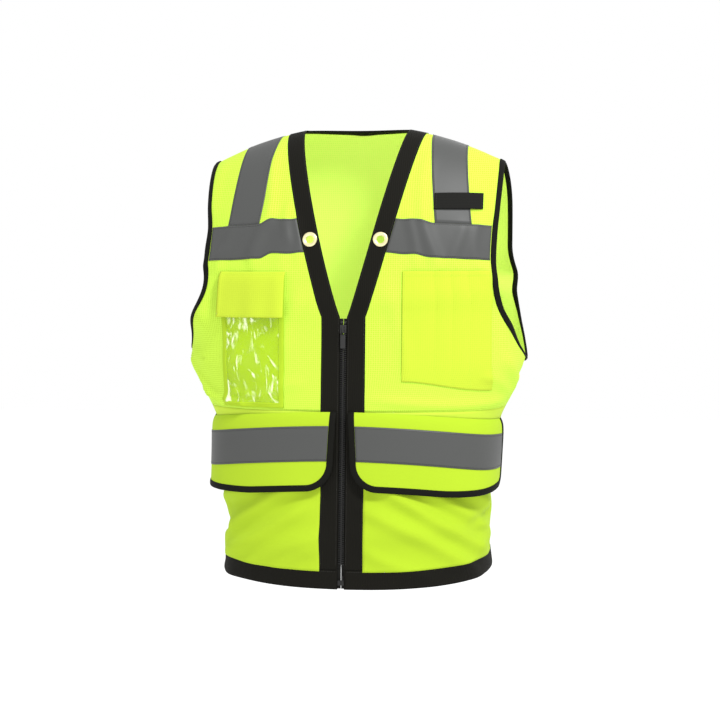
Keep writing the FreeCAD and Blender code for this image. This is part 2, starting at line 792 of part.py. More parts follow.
def main():
    os.makedirs("parts", exist_ok=True)
    pieces = {name: make() for name, make in SINGLE.items()}
    for name, make in BOTH_SIDES.items():
        left = make()
        pieces[name + "_left"] = left
        pieces[name + "_right"] = mirrored(left)
    for name, make in ON_THE_RIGHT.items():
        pieces[name] = mirrored(make())
    for name, shape in pieces.items():
        print(name, shape.isValid(), round(shape.Volume), len(shape.Solids))
        shape.exportStep("parts/" + name + ".step")


main()
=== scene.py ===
import math

import bpy
import bmesh
import numpy as np
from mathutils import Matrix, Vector


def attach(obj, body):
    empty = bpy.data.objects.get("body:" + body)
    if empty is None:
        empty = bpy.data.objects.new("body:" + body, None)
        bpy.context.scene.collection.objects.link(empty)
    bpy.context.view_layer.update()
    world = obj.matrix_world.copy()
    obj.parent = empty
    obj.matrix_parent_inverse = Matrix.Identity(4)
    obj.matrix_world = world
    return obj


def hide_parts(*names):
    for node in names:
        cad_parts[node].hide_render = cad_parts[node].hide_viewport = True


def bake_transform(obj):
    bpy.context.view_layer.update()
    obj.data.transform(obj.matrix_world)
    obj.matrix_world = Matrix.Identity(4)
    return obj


# The looks of a high visibility vest. The frame's own millimetres are used throughout and
# turned into metres where a mesh is made. The body shape is the one that the CAD model has.

# --- driving dimensions, as in the CAD model --------------------------------------------
MM = 0.001
TAPE, TRIM, BINDING, CLOTH, THIN = 50.8, 27.0, 9.5, 0.9, 0.5
ROUND = 2.4
SHOULDER_DROP = 46.0
NECK_HALF, SHOULDER_HALF, NECK_BACK = 78.0, 221.0, 45.0
ARMPIT_Z, WAIST_Z, HEM_Z, HEM_DIP, HEM_BAND = -346.0, -417.0, -661.0, 10.0, 28.0
FRONT_DEPTH, FRONT_FLARE, FRONT_TOP_Z, FRONT_CURVE = 140.0, 0.07, -270.0, 1.9
BACK_DEPTH, BACK_TOP_Z, BACK_CURVE = 125.0, -338.0, 3.0
WIDTH_Z = np.array([HEM_Z, -597.0, -549.0, -490.0, -435.0, -390.0, ARMPIT_Z])
WIDTH_X = np.array([203.0, 195.0, 198.0, 203.0, 214.0, 236.0, 253.0])
V_BOTTOM_Z, EDGE_HALF = -281.0, 5.0
ARMHOLE_X, ARMHOLE_BACK_X = 214.0, 228.0
CHEST_TAPE_TOP, CHEST_TAPE_BOW = -139.0, 6.0     # the bow is the fall 200 mm from the middle
SHOULDER_TAPE_TOP_X, SHOULDER_TAPE_LOW_X = 137.0, 152.0
GROMMET_X, GROMMET_Z, GROMMET_HOLE_R, GROMMET_FLANGE_R = 51.5, -170.0, 5.75, 11.0
ID_X, ID_WIDTH, ID_TOP_Z, ID_BOTTOM_Z, ID_FLAP_DROP = 135.0, 96.0, -217.0, -413.0, 68.0
PEN_IN_X, PEN_OUT_X, PEN_TOP_Z, PEN_BOTTOM_Z = 84.0, 208.0, -215.0, -380.0
PEN_DIVIDERS = (125.0, 147.0, 172.0)
MIC_IN_X, MIC_OUT_X, MIC_TOP_Z, MIC_WIDTH = 125.0, 193.0, -104.0, 23.0
FLAP_IN_X, FLAP_SIDE_ANGLE, FLAP_DROP, FLAP_FALL = 12.0, 84.0, 114.0, 18.0
FLAP_CORNER_IN, FLAP_CORNER_OUT, FLAP_TAPE_DROP, POCKET_LIP = 38.0, 24.0, 20.0, 16.0
ZIP_TOP_Z, ZIP_LOW_Z = V_BOTTOM_Z - 2.0, HEM_Z - 4.0
TOOTH_PITCH, TOOTH_LENGTH, TOOTH_THICK, TOOTH_REACH = 3.0, 1.25, 2.8, 4.2
SLIDER_PLATE, SLIDER_HALF, SLIDER_TOP, SLIDER_LOW = 1.3, 4.7, 9.0, 21.0
SEAM_TURN, ARMPIT_TURN = 5.0, 5.4            # degrees each way from the side seam
TOP, SIDE = -0.02, 89.8                      # level of the shoulder seam, side seam
ON_CLOTH, ON_TAPE, ON_TRIM, ON_HEM, ON_RIM = 1.1, 1.62, 1.95, 1.5, 3.35   # heights
GAP_UP = 0.2                                 # the front mesh ends above the lining

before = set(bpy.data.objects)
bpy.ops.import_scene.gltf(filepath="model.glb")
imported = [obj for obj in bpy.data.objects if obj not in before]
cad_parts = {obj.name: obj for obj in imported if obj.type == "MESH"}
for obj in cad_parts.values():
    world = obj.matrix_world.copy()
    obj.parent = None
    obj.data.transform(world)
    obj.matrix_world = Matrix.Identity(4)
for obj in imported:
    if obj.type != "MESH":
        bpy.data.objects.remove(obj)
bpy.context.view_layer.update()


# --- camera and light -------------------------------------------------------------------
def set_camera():
    camera = bpy.data.objects.new("camera", bpy.data.cameras.new("camera"))
    bpy.context.collection.objects.link(camera)
    camera.data.lens = 85.8
    place, target = Vector((0.407, -2.568, -0.175)), Vector((0.002, -0.002, -0.352))
    camera.location = place
    camera.rotation_euler = (target - place).to_track_quat("-Z", "Y").to_euler()
    bpy.context.scene.camera = camera


def area_light(name, place, target, size, power):
    light = bpy.data.lights.new(name, "AREA")
    light.shape, light.size, light.energy = "SQUARE", size, power
    lamp = bpy.data.objects.new(name, light)
    bpy.context.collection.objects.link(lamp)
    lamp.location = place
    lamp.rotation_euler = (Vector(target) - Vector(place)).to_track_quat("-Z", "Y").to_euler()


def set_light():
    world = bpy.data.worlds.new("studio")
    world.use_nodes = True
    world.node_tree.nodes["Background"].inputs["Color"].default_value = (1, 1, 1, 1)
    world.node_tree.nodes["Background"].inputs["Strength"].default_value = 1.0
    bpy.context.scene.world = world
    middle = (0, 0, -0.35)
    area_light("key", (1.4, -1.5, 1.9), middle, 0.6, 80)
    area_light("fill", (-2.4, -1.6, 0.2), middle, 1.6, 6)
    area_light("rim", (0.3, 2.2, 1.2), middle, 1.4, 7)
    bpy.context.scene.view_settings.view_transform = "Standard"


def add_floor():
    size, z = 8.0, -1.25
    data = bpy.data.meshes.new("floor")
    data.from_pydata([(-size, -size, z), (size, -size, z), (size, size, z), (-size, size, z)],
                     [], [(0, 1, 2, 3)])
    floor = bpy.data.objects.new("floor", data)
    bpy.context.collection.objects.link(floor)
    data.materials.append(plain_material("floor_white", (0.96, 0.96, 0.96), 0.95, glow=0.06))


# --- the body shape ---------------------------------------------------------------------
def half_width(level):
    slopes = np.empty_like(WIDTH_Z)
    slopes[1:-1] = (WIDTH_X[2:] - WIDTH_X[:-2]) / (WIDTH_Z[2:] - WIDTH_Z[:-2])
    slopes[0] = (WIDTH_X[1] - WIDTH_X[0]) / (WIDTH_Z[1] - WIDTH_Z[0])
    slopes[-1] = 0.0
    level = np.clip(level, WIDTH_Z[0], WIDTH_Z[-1])
    i = np.clip(np.searchsorted(WIDTH_Z, level, side="right") - 1, 0, len(WIDTH_Z) - 2)
    step = WIDTH_Z[i + 1] - WIDTH_Z[i]
    t = (level - WIDTH_Z[i]) / step
    return ((2 * t**3 - 3 * t**2 + 1) * WIDTH_X[i] + (t**3 - 2 * t**2 + t) * step * slopes[i]
            + (3 * t**2 - 2 * t**3) * WIDTH_X[i + 1] + (t**3 - t**2) * step * slopes[i + 1])


def shoulder_z(x):
    return -SHOULDER_DROP * (x / 200.0) ** 2


def body_point(angle, level):
    """Points of the body. The angle is 0 at the front, 90 at the wearer's left side, 180 at
    the back. The level is the height up to the chest, and above it 0 is the shoulder line."""
    angle, level = np.broadcast_arrays(np.asarray(angle, float), np.asarray(level, float))
    sine, cosine = np.sin(np.radians(angle)), np.cos(np.radians(angle))
    back = cosine < 0
    top_z = np.where(back, BACK_TOP_Z, FRONT_TOP_Z)
    curve = np.where(back, BACK_CURVE, FRONT_CURVE)
    scale = (np.abs(sine) ** ROUND + np.abs(cosine) ** ROUND) ** (-1 / ROUND)
    x = half_width(level) * scale * sine
    depth = np.where(back, BACK_DEPTH, FRONT_DEPTH + FRONT_FLARE * np.maximum(top_z - level, 0))
    turn = np.clip(1 - level / top_z, 0, 1) * np.pi / 2
    rise = np.sin(turn) ** (2 / curve)
    reach = np.maximum(np.cos(turn), 0) ** (2 / curve)
    z = np.where(level > top_z, top_z + (shoulder_z(x) - top_z) * rise, level)
    return np.stack([x, -depth * reach * scale * cosine, z], -1)


def angle_at(x, level, back=False):
    """The angle from 0 to 180 where the body is x from the middle."""
    part = np.minimum(np.abs(x) / half_width(level), 1.0)
    depth = (1 - part**ROUND) ** (1 / ROUND)
    angle = np.degrees(np.arctan2(part, depth))
    return 180 - angle if back else angle


def level_at(x, z, back=False):
    top_z, curve = (BACK_TOP_Z, BACK_CURVE) if back else (FRONT_TOP_Z, FRONT_CURVE)
    rise = np.clip((z - top_z) / (shoulder_z(x) - top_z), 0.0, 1.0)
    high = top_z * (1 - np.arcsin(rise ** (curve / 2)) / (np.pi / 2))
    return np.where(z <= top_z, z, high)


SEAM_DEGREES = np.linspace(0, 360, 721)
SEAM_LENGTHS = np.concatenate([[0], np.cumsum(np.linalg.norm(
    np.diff(body_point(SEAM_DEGREES, WAIST_Z), axis=0), axis=1))])


def girth(angle):
    """Distance round the waist from the middle of the front, negative on the right."""
    return np.sign(angle) * np.interp(np.abs(angle), SEAM_DEGREES, SEAM_LENGTHS)


def seam_angle(length):
    return np.interp(length, SEAM_LENGTHS, SEAM_DEGREES)


def smooth(t):
    t = np.clip(t, 0.0, 1.0)
    return t * t * (3 - 2 * t)


def mix(a, b, t):
    return a + (b - a) * t


# --- folds: (girth, z) of a fold's two ends, half its width, and its height in mm -------
FOLDS = [
    # wearer's right, under the lower flap: from the side up towards the zip
    (-228, -596, -60, -520, 13, 9.0), (-216, -632, -60, -556, 13, 8.0),
    (-262, -562, -140, -520, 10, 6.0), (-215, -662, -48, -604, 12, 5.5),
    (-120, -650, -44, -620, 9, 3.0), (-300, -598, -225, -590, 8, -9.0),
    (-300, -570, -235, -560, 12, 4.0),
    # wearer's left, under the lower flap: from the zip down towards the side
    (46, -520, 250, -620, 11, 8.5), (110, -512, 262, -590, 10, 7.5),
    (44, -560, 215, -648, 12, 8.0), (180, -512, 268, -562, 10, 5.5),
    (42, -612, 140, -662, 10, 3.6), (300, -584, 222, -572, 9, -8.0),
    (300, -615, 235, -610, 14, 5.0),
    # above the waist on the wearer's right, under the card pocket and at the side
    (-250, -398, -150, -405, 6, 4.5), (-175, -412, -158, -388, 5, 3.5),
    (-150, -414, -138, -392, 5, 3.0), (-230, -372, -196, -410, 7, 3.5),
    (-262, -346, -205, -395, 8, 4.5), (-240, -330, -205, -352, 8, 2.5),
    (-120, -398, -60, -380, 8, 2.4), (-200, -290, -178, -205, 11, 3.0),
    (-215, -215, -160, -190, 8, 2.5),
    # above the waist on the wearer's left
    (60, -400, 250, -406, 7, 4.0), (225, -340, 275, -395, 9, 4.0), (190, -372, 262, -388, 7, 3.0),
    # over the chest and beside the straps
    (-96, -262, -70, -150, 13, 3.0), (-118, -205, -108, -130, 9, 4.5),
    (-96, -40, -104, -140, 8, 4.0), (-76, -175, -72, -120, 6, 2.4),
    (112, -205, 100, -130, 9, 4.2), (86, -205, 84, -135, 6, 2.6),
    (104, -40, 96, -130, 9, 3.6), (175, -205, 205, -262, 11, 2.6),
    (-75, -330, -58, -250, 10, 2.4), (62, -250, 76, -360, 10, 2.4),
    (-168, -215, -160, -150, 9, 2.6), (140, -205, 146, -150, 9, 2.4),
    (-60, -200, -66, -140, 6, 2.0), (170, -200, 172, -140, 8, 2.0),
    (-150, -360, -110, -225, 14, 3.0), (230, -300, 196, -215, 10, 3.0),
    (-185, -60, -195, -130, 12, 2.6), (190, -60, 196, -135, 12, 2.4),
    # the wearer's right edge stands out and the left back edge lies close
    (-214, -300, -212, -180, 34, 9.0), (390, -330, 390, -238, 42, -13.0),
    (-325, -650, -325, -590, 60, -11.0), (-300, -372, -300, -338, 25, -7.0),
    (310, -372, 310, -350, 25, -9.0), (320, -680, 320, -664, 60, -6.0),
    # back: broad soft folds from the shoulder blades to the hem
    (470, -620, 540, -470, 20, 5.0), (330, -600, 420, -500, 18, 4.6),
    (610, -600, 560, -480, 18, -4.0), (520, -560, 640, -640, 18, 4.2),
    (420, -300, 480, -180, 22, 4.0), (600, -320, 560, -200, 22, 3.6),
]


def fold_height(angle, z):
    """How far the folds lift the cloth at a place on the vest."""
    full = SEAM_LENGTHS[-1]
    around = girth(angle)
    around = np.where(around > full / 2, around - full, around)
    lift = 0.9 * np.sin(around / 31.0 + z / 47.0) * np.sin(z / 61.0 - around / 83.0)
    for g0, z0, g1, z1, width, height in FOLDS:
        g0, g1 = (g - full if g > full / 2 else g for g in (g0, g1))
        along, up = g1 - g0, z1 - z0
        length = math.hypot(along, up)
        t = ((around - g0) * along + (z - z0) * up) / length**2
        off = ((around - g0) * up - (z - z0) * along) / length
        ends = smooth((t + 0.25) / 0.4) * smooth((1.25 - t) / 0.4)
        bend = off + 5.0 * np.sin(t * 3.0 + g0)
        lift = lift + height * ends * np.exp(-((bend / width) ** 2))
    calm = smooth(np.abs(around) / 45.0) * smooth((-z - 5.0) / 60.0)
    return lift * calm


def placed(angle, level, out):
    """Points that stand out so far from the folded body, square to it."""
    turn, rise = 0.2, 0.5
    angle, level = np.broadcast_arrays(np.asarray(angle, float), np.asarray(level, float))
    top = np.minimum(level + rise, -0.01)
    across = body_point(angle + turn, level) - body_point(angle - turn, level)
    up = body_point(angle, top) - body_point(angle, top - 2 * rise)
    normal = np.cross(across, up)
    normal /= np.linalg.norm(normal, axis=-1, keepdims=True)
    point = body_point(angle, level)
    lift = np.asarray(out, float) + fold_height(angle, point[..., 2])
    return point + normal * lift[..., None]


# --- areas of cloth, from their edges ---------------------------------------------------
def along(edge, back=False):
    """The side edge that has x = edge(z), as a function of the level."""
    def angle(level):
        x = edge(level)
        for _ in range(6):
            x = edge(body_point(angle_at(x, level, back), level)[..., 2])
        return angle_at(x, level, back)
    return angle


def at_height(line, back=False):
    """The lower or upper edge that has z = line(x), as a function of the angle."""
    def level(angle):
        found = line(np.zeros_like(angle))
        for _ in range(4):
            x = body_point(angle, found)[..., 0]
            found = level_at(x, line(np.abs(x)), back)
        return found
    return level


def region(inner, outer, low, high):
    def place(u, v):
        angle = mix(inner(ARMPIT_Z + 0 * u), outer(ARMPIT_Z + 0 * u), u)
        for _ in range(6):
            level = mix(low(angle), high(angle), v)
            angle = mix(inner(level), outer(level), u)
        return angle, level
    return place


def constant(value):
    return lambda at: value + 0 * at


def block_region(in_x, out_x, low_z, high_z):
    return region(along(constant(in_x)), along(constant(out_x)),
                  at_height(constant(low_z)), at_height(constant(high_z)))


def trim_inner(z, out=0.0):
    t = np.maximum(0.0, (z - V_BOTTOM_Z) / (shoulder_z(NECK_HALF) - V_BOTTOM_Z))
    return mix(EDGE_HALF, NECK_HALF, np.minimum(t, 1.0) ** 0.9) + out


def trim_outer(z):
    return trim_inner(z, TRIM)


def armhole_x(z, inset=0.0):
    t = (z - ARMPIT_Z) / (shoulder_z(SHOULDER_HALF) - ARMPIT_Z)
    scoop = (WIDTH_X[-1] - 0.2 - ARMHOLE_X) * (1 - smooth(t / 0.4))
    return ARMHOLE_X + scoop + (SHOULDER_HALF - ARMHOLE_X) * smooth((t - 0.5) / 0.5) - inset


def front_side(inset=0.0):
    def angle(level):
        cut = inset * smooth((level - ARMPIT_Z) / 25)
        hole = np.minimum(along(lambda z: armhole_x(z, cut))(level), SIDE)
        return np.where(level <= ARMPIT_Z, SIDE, hole)
    return angle


def armhole_back(level):
    t = 1 - level / ARMPIT_Z
    scoop = mix(WIDTH_X[-1] - 0.2, ARMHOLE_BACK_X, smooth(t / 0.3))
    return mix(scoop, SHOULDER_HALF, smooth((t - 0.5) / 0.5))


def back_side(inset=0.0):
    def angle(level):
        cut = inset * smooth((level - ARMPIT_Z) / 25)
        hole = np.maximum(angle_at(armhole_back(level) - cut, level, back=True), 180 - SIDE)
        return np.where(level <= ARMPIT_Z, 180 - SIDE, hole)
    return angle


def hem_z(angle):
    return HEM_Z - HEM_DIP * np.abs(np.cos(np.radians(angle))) ** 1.5


def hem_top(angle):
    return hem_z(angle) + HEM_BAND


# The step in each front's chest tape: its height, where it starts and how wide it is.
TAPE_STEPS = {-1: (7.0, 108.0, 20.0), 1: (5.0, 92.0, 34.0)}


def chest_tape_top(x, side=0):
    """Height of the chest tape's upper edge, with a step at the fold beside the strap."""
    height, start, width = TAPE_STEPS[-1 if side < 0 else 1]
    step = height * smooth((x - start) / width)
    wave = np.sin(x / 8.5 + 1.0) * smooth((130.0 - x) / 40.0)
    return CHEST_TAPE_TOP - CHEST_TAPE_BOW * (x / 200.0) ** 2 - abs(side) * (step - wave)


def shoulder_tape_x(z, side):
    t = np.clip(z / CHEST_TAPE_TOP, 0.0, 1.2)
    return mix(SHOULDER_TAPE_TOP_X, SHOULDER_TAPE_LOW_X, t) + side * TAPE / 2


def back_area(side, low, high):
    def place(u, v):
        angle = mix(90.0, 270.0, u)
        for _ in range(4):
            level = mix(low(angle), high(angle), v)
            angle = mix(side(level), 360 - side(level), u)
        return angle, level
    return place


# --- meshes -----------------------------------------------------------------------------
def new_piece(name, points, faces, material, uv=None):
    """points in mm; faces as an array of corners or a list of them."""
    data = bpy.data.meshes.new(name)
    data.from_pydata((np.asarray(points) * MM).tolist(), [], [list(map(int, f)) for f in faces])
    data.validate()
    data.polygons.foreach_set("use_smooth", np.ones(len(data.polygons), bool))
    if uv is not None:
        corners = np.empty(len(data.loops), int)
        data.loops.foreach_get("vertex_index", corners)
        layer = data.uv_layers.new(name="cloth")
        layer.data.foreach_set("uv", (np.asarray(uv) / 100.0)[corners].ravel())
    data.materials.append(material)
    piece = bpy.data.objects.new(name, data)
    bpy.context.collection.objects.link(piece)
    return piece


def grid_faces(rows, columns, flip):
    a = np.arange(rows * columns).reshape(rows, columns)
    quads = np.stack([a[:-1, :-1], a[:-1, 1:], a[1:, 1:], a[1:, :-1]], -1).reshape(-1, 4)
    return quads[:, ::-1] if flip else quads


def thin_solid(name, low, high, uv, material, flip):
    """The closed sheet between two grids of points of one size."""
    rows, columns = low.shape[:2]
    count = rows * columns
    outer = grid_faces(rows, columns, flip) + count
    inner = grid_faces(rows, columns, not flip)
    a = np.arange(count).reshape(rows, columns)
    rim = np.concatenate([a[0, :-1], a[:-1, -1], a[-1, :0:-1], a[:0:-1, 0]])
    after = np.roll(rim, -1)
    sides = np.stack([rim, after, after + count, rim + count], -1)
    sides = sides[:, ::-1] if flip else sides
    points = np.concatenate([low.reshape(-1, 3), high.reshape(-1, 3)])
    both = np.concatenate([uv.reshape(-1, 2)] * 2)
    return new_piece(name, points, np.concatenate([inner, outer, sides]), material, both)


def unit_grid(columns, rows):
    return np.meshgrid(np.linspace(0, 1, columns), np.linspace(0, 1, rows))


def cloth(name, place, out, thick, material, side=1, columns=40, rows=60, rolled=0.0):
    """A sheet of cloth. out may be a number or a function of u and v. A rolled edge is
    rounded off over that share of the sheet's width."""
    u, v = unit_grid(columns, rows)
    angle, level = place(u, v)
    base = out(u, v) if callable(out) else out
    height = thick
    if rolled:
        edge = np.minimum(u, 1 - u) / rolled
        height = thick * (0.35 + 0.65 * np.sqrt(1 - (1 - np.clip(edge, 0, 1)) ** 2))
    low, high = (placed(side * angle, level, o) for o in (base, base + height))
    uv = np.stack([girth(angle), high[..., 2]], -1)
    return thin_solid(name, low, high, uv, material, side < 0)


def tube(name, centres, across, normal, half_width_mm, half_thick, material, sections=10):
    """A flattened soft tube along a path; across and normal are its unit directions."""
    turns = np.linspace(0, 2 * np.pi, sections, endpoint=False)
    c, s = np.cos(turns), np.sin(turns)
    c, s = np.sign(c) * np.abs(c) ** 0.7, np.sign(s) * np.abs(s) ** 0.7
    wide = np.broadcast_to(half_width_mm, len(centres))[:, None, None]
    rings = (centres[:, None] + across[:, None] * (wide * c[None, :, None])
             + normal[:, None] * (half_thick * s)[None, :, None])
    count = len(centres)
    a = np.arange(count * sections).reshape(count, sections)
    b = np.roll(a, -1, axis=1)
    faces = np.stack([a[:-1], b[:-1], b[1:], a[1:]], -1).reshape(-1, 4).tolist()
    faces += [a[0, ::-1].tolist(), a[-1].tolist()]
    lengths = np.concatenate([[0], np.cumsum(np.linalg.norm(np.diff(centres, axis=0), axis=1))])
    uv = np.stack(np.broadcast_arrays(lengths[:, None], (turns * np.max(half_width_mm))[None]), -1)
    piece = new_piece(name, rings.reshape(-1, 3), faces, material, uv.reshape(-1, 2))
    outward(piece)
    return piece


def outward(piece):
    """Turn all faces of a closed piece to look out."""
    mesh = bmesh.new()
    mesh.from_mesh(piece.data)
    bmesh.ops.recalc_face_normals(mesh, faces=mesh.faces)
    mesh.to_mesh(piece.data)
    mesh.free()


def path_frames(points, nearby):
    """(across, normal) unit directions along a path, from points beside it on the cloth."""
    along_path = np.gradient(points, axis=0)
    along_path /= np.linalg.norm(along_path, axis=1, keepdims=True)
    across = nearby - points
    across -= along_path * np.sum(across * along_path, axis=1, keepdims=True)
    across /= np.linalg.norm(across, axis=1, keepdims=True)
    return across, np.cross(along_path, across)


# --- materials --------------------------------------------------------------------------
def linear(r, g, b):
    """A colour in the shader's own space, from its 0 to 255 values."""
    parts = (c / 255 for c in (r, g, b))
    return tuple(c / 12.92 if c <= 0.04045 else ((c + 0.055) / 1.055) ** 2.4 for c in parts)


def plain_material(name, colour, roughness, metallic=0.0, sheen=0.0, specular=0.3, glow=0.0):
    material = bpy.data.materials.new(name)
    material.use_nodes = True
    shader = material.node_tree.nodes["Principled BSDF"]
    shader.inputs["Base Color"].default_value = (*colour, 1)
    shader.inputs["Roughness"].default_value = roughness
    shader.inputs["Metallic"].default_value = metallic
    shader.inputs["Sheen Weight"].default_value = sheen
    shader.inputs["Specular IOR Level"].default_value = specular
    shader.inputs["Emission Color"].default_value = (*colour, 1)
    shader.inputs["Emission Strength"].default_value = glow
    return material


def add(material, kind, **values):
    node = material.node_tree.nodes.new("ShaderNode" + kind)
    for name, value in values.items():
        setattr(node, name, value)
    return node


def wire(material, start, end):
    material.node_tree.links.new(start, end)


def pattern_height(material, kind, scale, **values):
    """A pattern over the flat cloth; its scale is in repeats per 100 mm."""
    place = add(material, "UVMap", uv_map="cloth")
    pattern = add(material, kind, **values)
    pattern.inputs["Scale"].default_value = scale
    wire(material, place.outputs["UV"], pattern.inputs["Vector"])
    return pattern


def bump_from(material, height, strength, distance):
    shader = material.node_tree.nodes["Principled BSDF"]
    bump = add(material, "Bump")
    bump.inputs["Strength"].default_value = strength
    bump.inputs["Distance"].default_value = distance * MM
    wire(material, height, bump.inputs["Height"])
    wire(material, bump.outputs["Normal"], shader.inputs["Normal"])


def colours_from(material, factor, low, high):
    shader = material.node_tree.nodes["Principled BSDF"]
    blend = add(material, "Mix", data_type="RGBA")
    blend.inputs[6].default_value = (*low, 1)
    blend.inputs[7].default_value = (*high, 1)
    wire(material, factor, blend.inputs[0])
    wire(material, blend.outputs[2], shader.inputs["Base Color"])


def mesh_material(name, colour, hole, glow):
    """Knitted mesh: rows of small round holes. The cloth glows a little: painted light that stands
    in for the fluorescent dye's brightness and lifts the shade.
    """
    material = plain_material(name, colour, 0.9, glow=glow)
    cells = pattern_height(material, "TexVoronoi", 34.0, feature="F1")
    cells.inputs["Randomness"].default_value = 0.12
    step = add(material, "MapRange")
    step.inputs["From Min"].default_value, step.inputs["From Max"].default_value = 0.22, 0.42
    wire(material, cells.outputs["Distance"], step.inputs["Value"])
    # the holes get the darker colour: painted shade seen through them
    colours_from(material, step.outputs["Result"], hole, colour)
    bump_from(material, step.outputs["Result"], 0.35, 0.4)
    return material


def woven_material(name, colour, scale=55.0, strength=0.25, **finish_and_glow):
    # a glow given here is painted light on the cloth
    material = plain_material(name, colour, finish_and_glow.get("roughness", 0.9),
                              glow=finish_and_glow.get("glow", 0.0))
    weave = pattern_height(material, "TexChecker", scale)
    bump_from(material, weave.outputs["Fac"], strength, 0.2)
    return material


def ribbed_material(name, colour, ribs, strength=0.6, direction="X"):
    material = plain_material(name, colour, 0.8, specular=0.12)
    wave = pattern_height(material, "TexWave", ribs, wave_type="BANDS",
                          bands_direction=direction)
    bump_from(material, wave.outputs["Fac"], strength, 0.5)
    return material


# the second yellow is painted shade in the mesh's holes
YELLOW, YELLOW_HOLE_SHADE = linear(188, 224, 70), linear(164, 200, 40)
PANEL_YELLOW, LINING_YELLOW = linear(160, 190, 32), linear(182, 208, 58)
# painted light: an even glow on the yellow cloths, for the fluorescent dye's brightness and to lift
# the shade
PAINTED_GLOW = 0.05
MATERIALS = {
    "mesh_cloth": mesh_material("mesh_cloth", YELLOW, YELLOW_HOLE_SHADE, PAINTED_GLOW),
    # the back's mesh is a paler copy of the mesh cloth with a stronger glow: painted light for
    # light that passes through the back and brightens its inside
    "back_mesh": mesh_material("back_mesh", linear(200, 226, 96), linear(184, 210, 74), 0.44),
    "plain_cloth": woven_material("plain_cloth", PANEL_YELLOW, glow=PAINTED_GLOW),
    "pocket_cloth": mesh_material("pocket_cloth", linear(182, 202, 50), linear(172, 194, 42), PAINTED_GLOW),
    "lining_cloth": woven_material("lining_cloth", LINING_YELLOW, glow=PAINTED_GLOW),
    "reflective_tape": woven_material("reflective_tape", linear(70, 71, 70), 80.0, 0.15,
                                      roughness=0.5),
    "black_trim": ribbed_material("black_trim", linear(16, 15, 10), 12.0),
    "black_binding": ribbed_material("black_binding", linear(14, 14, 10), 16.0, 0.3, "Y"),
    "webbing": ribbed_material("webbing", linear(22, 22, 20), 14.0, 0.5, "Y"),
    "hook_and_loop": woven_material("hook_and_loop", linear(60, 60, 56), 120.0, 0.8),
    "zip_cloth": woven_material("zip_cloth", linear(20, 20, 17), 90.0),
    "zip_plastic": plain_material("zip_plastic", linear(26, 26, 25), 0.4),
    "zip_metal": plain_material("zip_metal", linear(58, 58, 58), 0.35, 0.7),
    "brass": plain_material("brass", linear(236, 226, 178), 0.28, 0.75),
    "thread_yellow": plain_material("thread_yellow", linear(190, 220, 60), 0.8),
    "thread_black": plain_material("thread_black", linear(42, 42, 38), 0.8),
}


def clear_material():
    """Thin clear film, with painted highlights: pale streaks that stand for light caught on its
    wrinkles.
    """
    film, painted_highlight = linear(196, 232, 30), linear(246, 255, 214)
    highlight_from, highlight_full = 0.54, 0.70        # of the noise
    film_alpha, highlight_alpha = 0.25, 0.85
    material = plain_material("clear_window", film, 0.15, specular=0.6)
    shader = material.node_tree.nodes["Principled BSDF"]
    place = add(material, "UVMap", uv_map="cloth")
    stretch = add(material, "Mapping")
    stretch.inputs["Scale"].default_value = (0.8, 0.3, 1.0)
    stretch.inputs["Rotation"].default_value = (0.0, 0.0, 0.35)
    noise = add(material, "TexNoise")
    noise.inputs["Scale"].default_value = 7.0
    noise.inputs["Detail"].default_value = 3.0
    noise.inputs["Distortion"].default_value = 2.2
    wire(material, place.outputs["UV"], stretch.inputs["Vector"])
    wire(material, stretch.outputs["Vector"], noise.inputs["Vector"])
    # the mask of the painted highlights on the film
    highlight_mask = add(material, "MapRange")
    highlight_mask.inputs["From Min"].default_value = highlight_from
    highlight_mask.inputs["From Max"].default_value = highlight_full
    wire(material, noise.outputs[0], highlight_mask.inputs["Value"])
    colours_from(material, highlight_mask.outputs["Result"], film, painted_highlight)
    clear = add(material, "MapRange")
    clear.inputs["To Min"].default_value = film_alpha
    clear.inputs["To Max"].default_value = highlight_alpha
    wire(material, highlight_mask.outputs["Result"], clear.inputs["Value"])
    wire(material, clear.outputs["Result"], shader.inputs["Alpha"])
    return material


MATERIALS["clear_window"] = clear_material()


# --- how pieces are held ----------------------------------------------------------------
def side_name(side):
    return "left" if side > 0 else "right"


def held(piece, body, slot, *nodes):
    """The piece moves with one CAD body and stands for these nodes."""
    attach(piece, body)
    if nodes:
        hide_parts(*nodes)
    return piece


def bends(piece, side, slot, *nodes):
    """A piece of a front, which on the vest stays on the shoulder at its top and opens lower down.
    Here its placement is only baked into its mesh, and it stands for these nodes.
    """
    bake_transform(piece)
    if nodes:
        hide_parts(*nodes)
    return piece


def flap_bends(piece, side, slot, *nodes):
    """A piece of a lower flap, which on the vest stays on its seam at its top. Here its placement
    is only baked into its mesh, and it stands for these nodes.
    """
    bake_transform(piece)
    if nodes:
        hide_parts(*nodes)
    return piece


SHEETS = []


def declare(piece, low):
    """Note the piece as a sheet, with the size that it has when laid flat."""
    rows = np.linalg.norm(np.diff(low, axis=1), axis=-1).sum(1)
    columns = np.linalg.norm(np.diff(low, axis=0), axis=-1).sum(0)
    width, length = rows.max() * MM, columns.max() * MM
    SHEETS.append((piece.name, round(width, 3), round(length, 3)))


def sheet_points(place, side, columns=40, rows=60):
    u, v = unit_grid(columns, rows)
    angle, level = place(u, v)
    return placed(side * angle, level, 0.0)


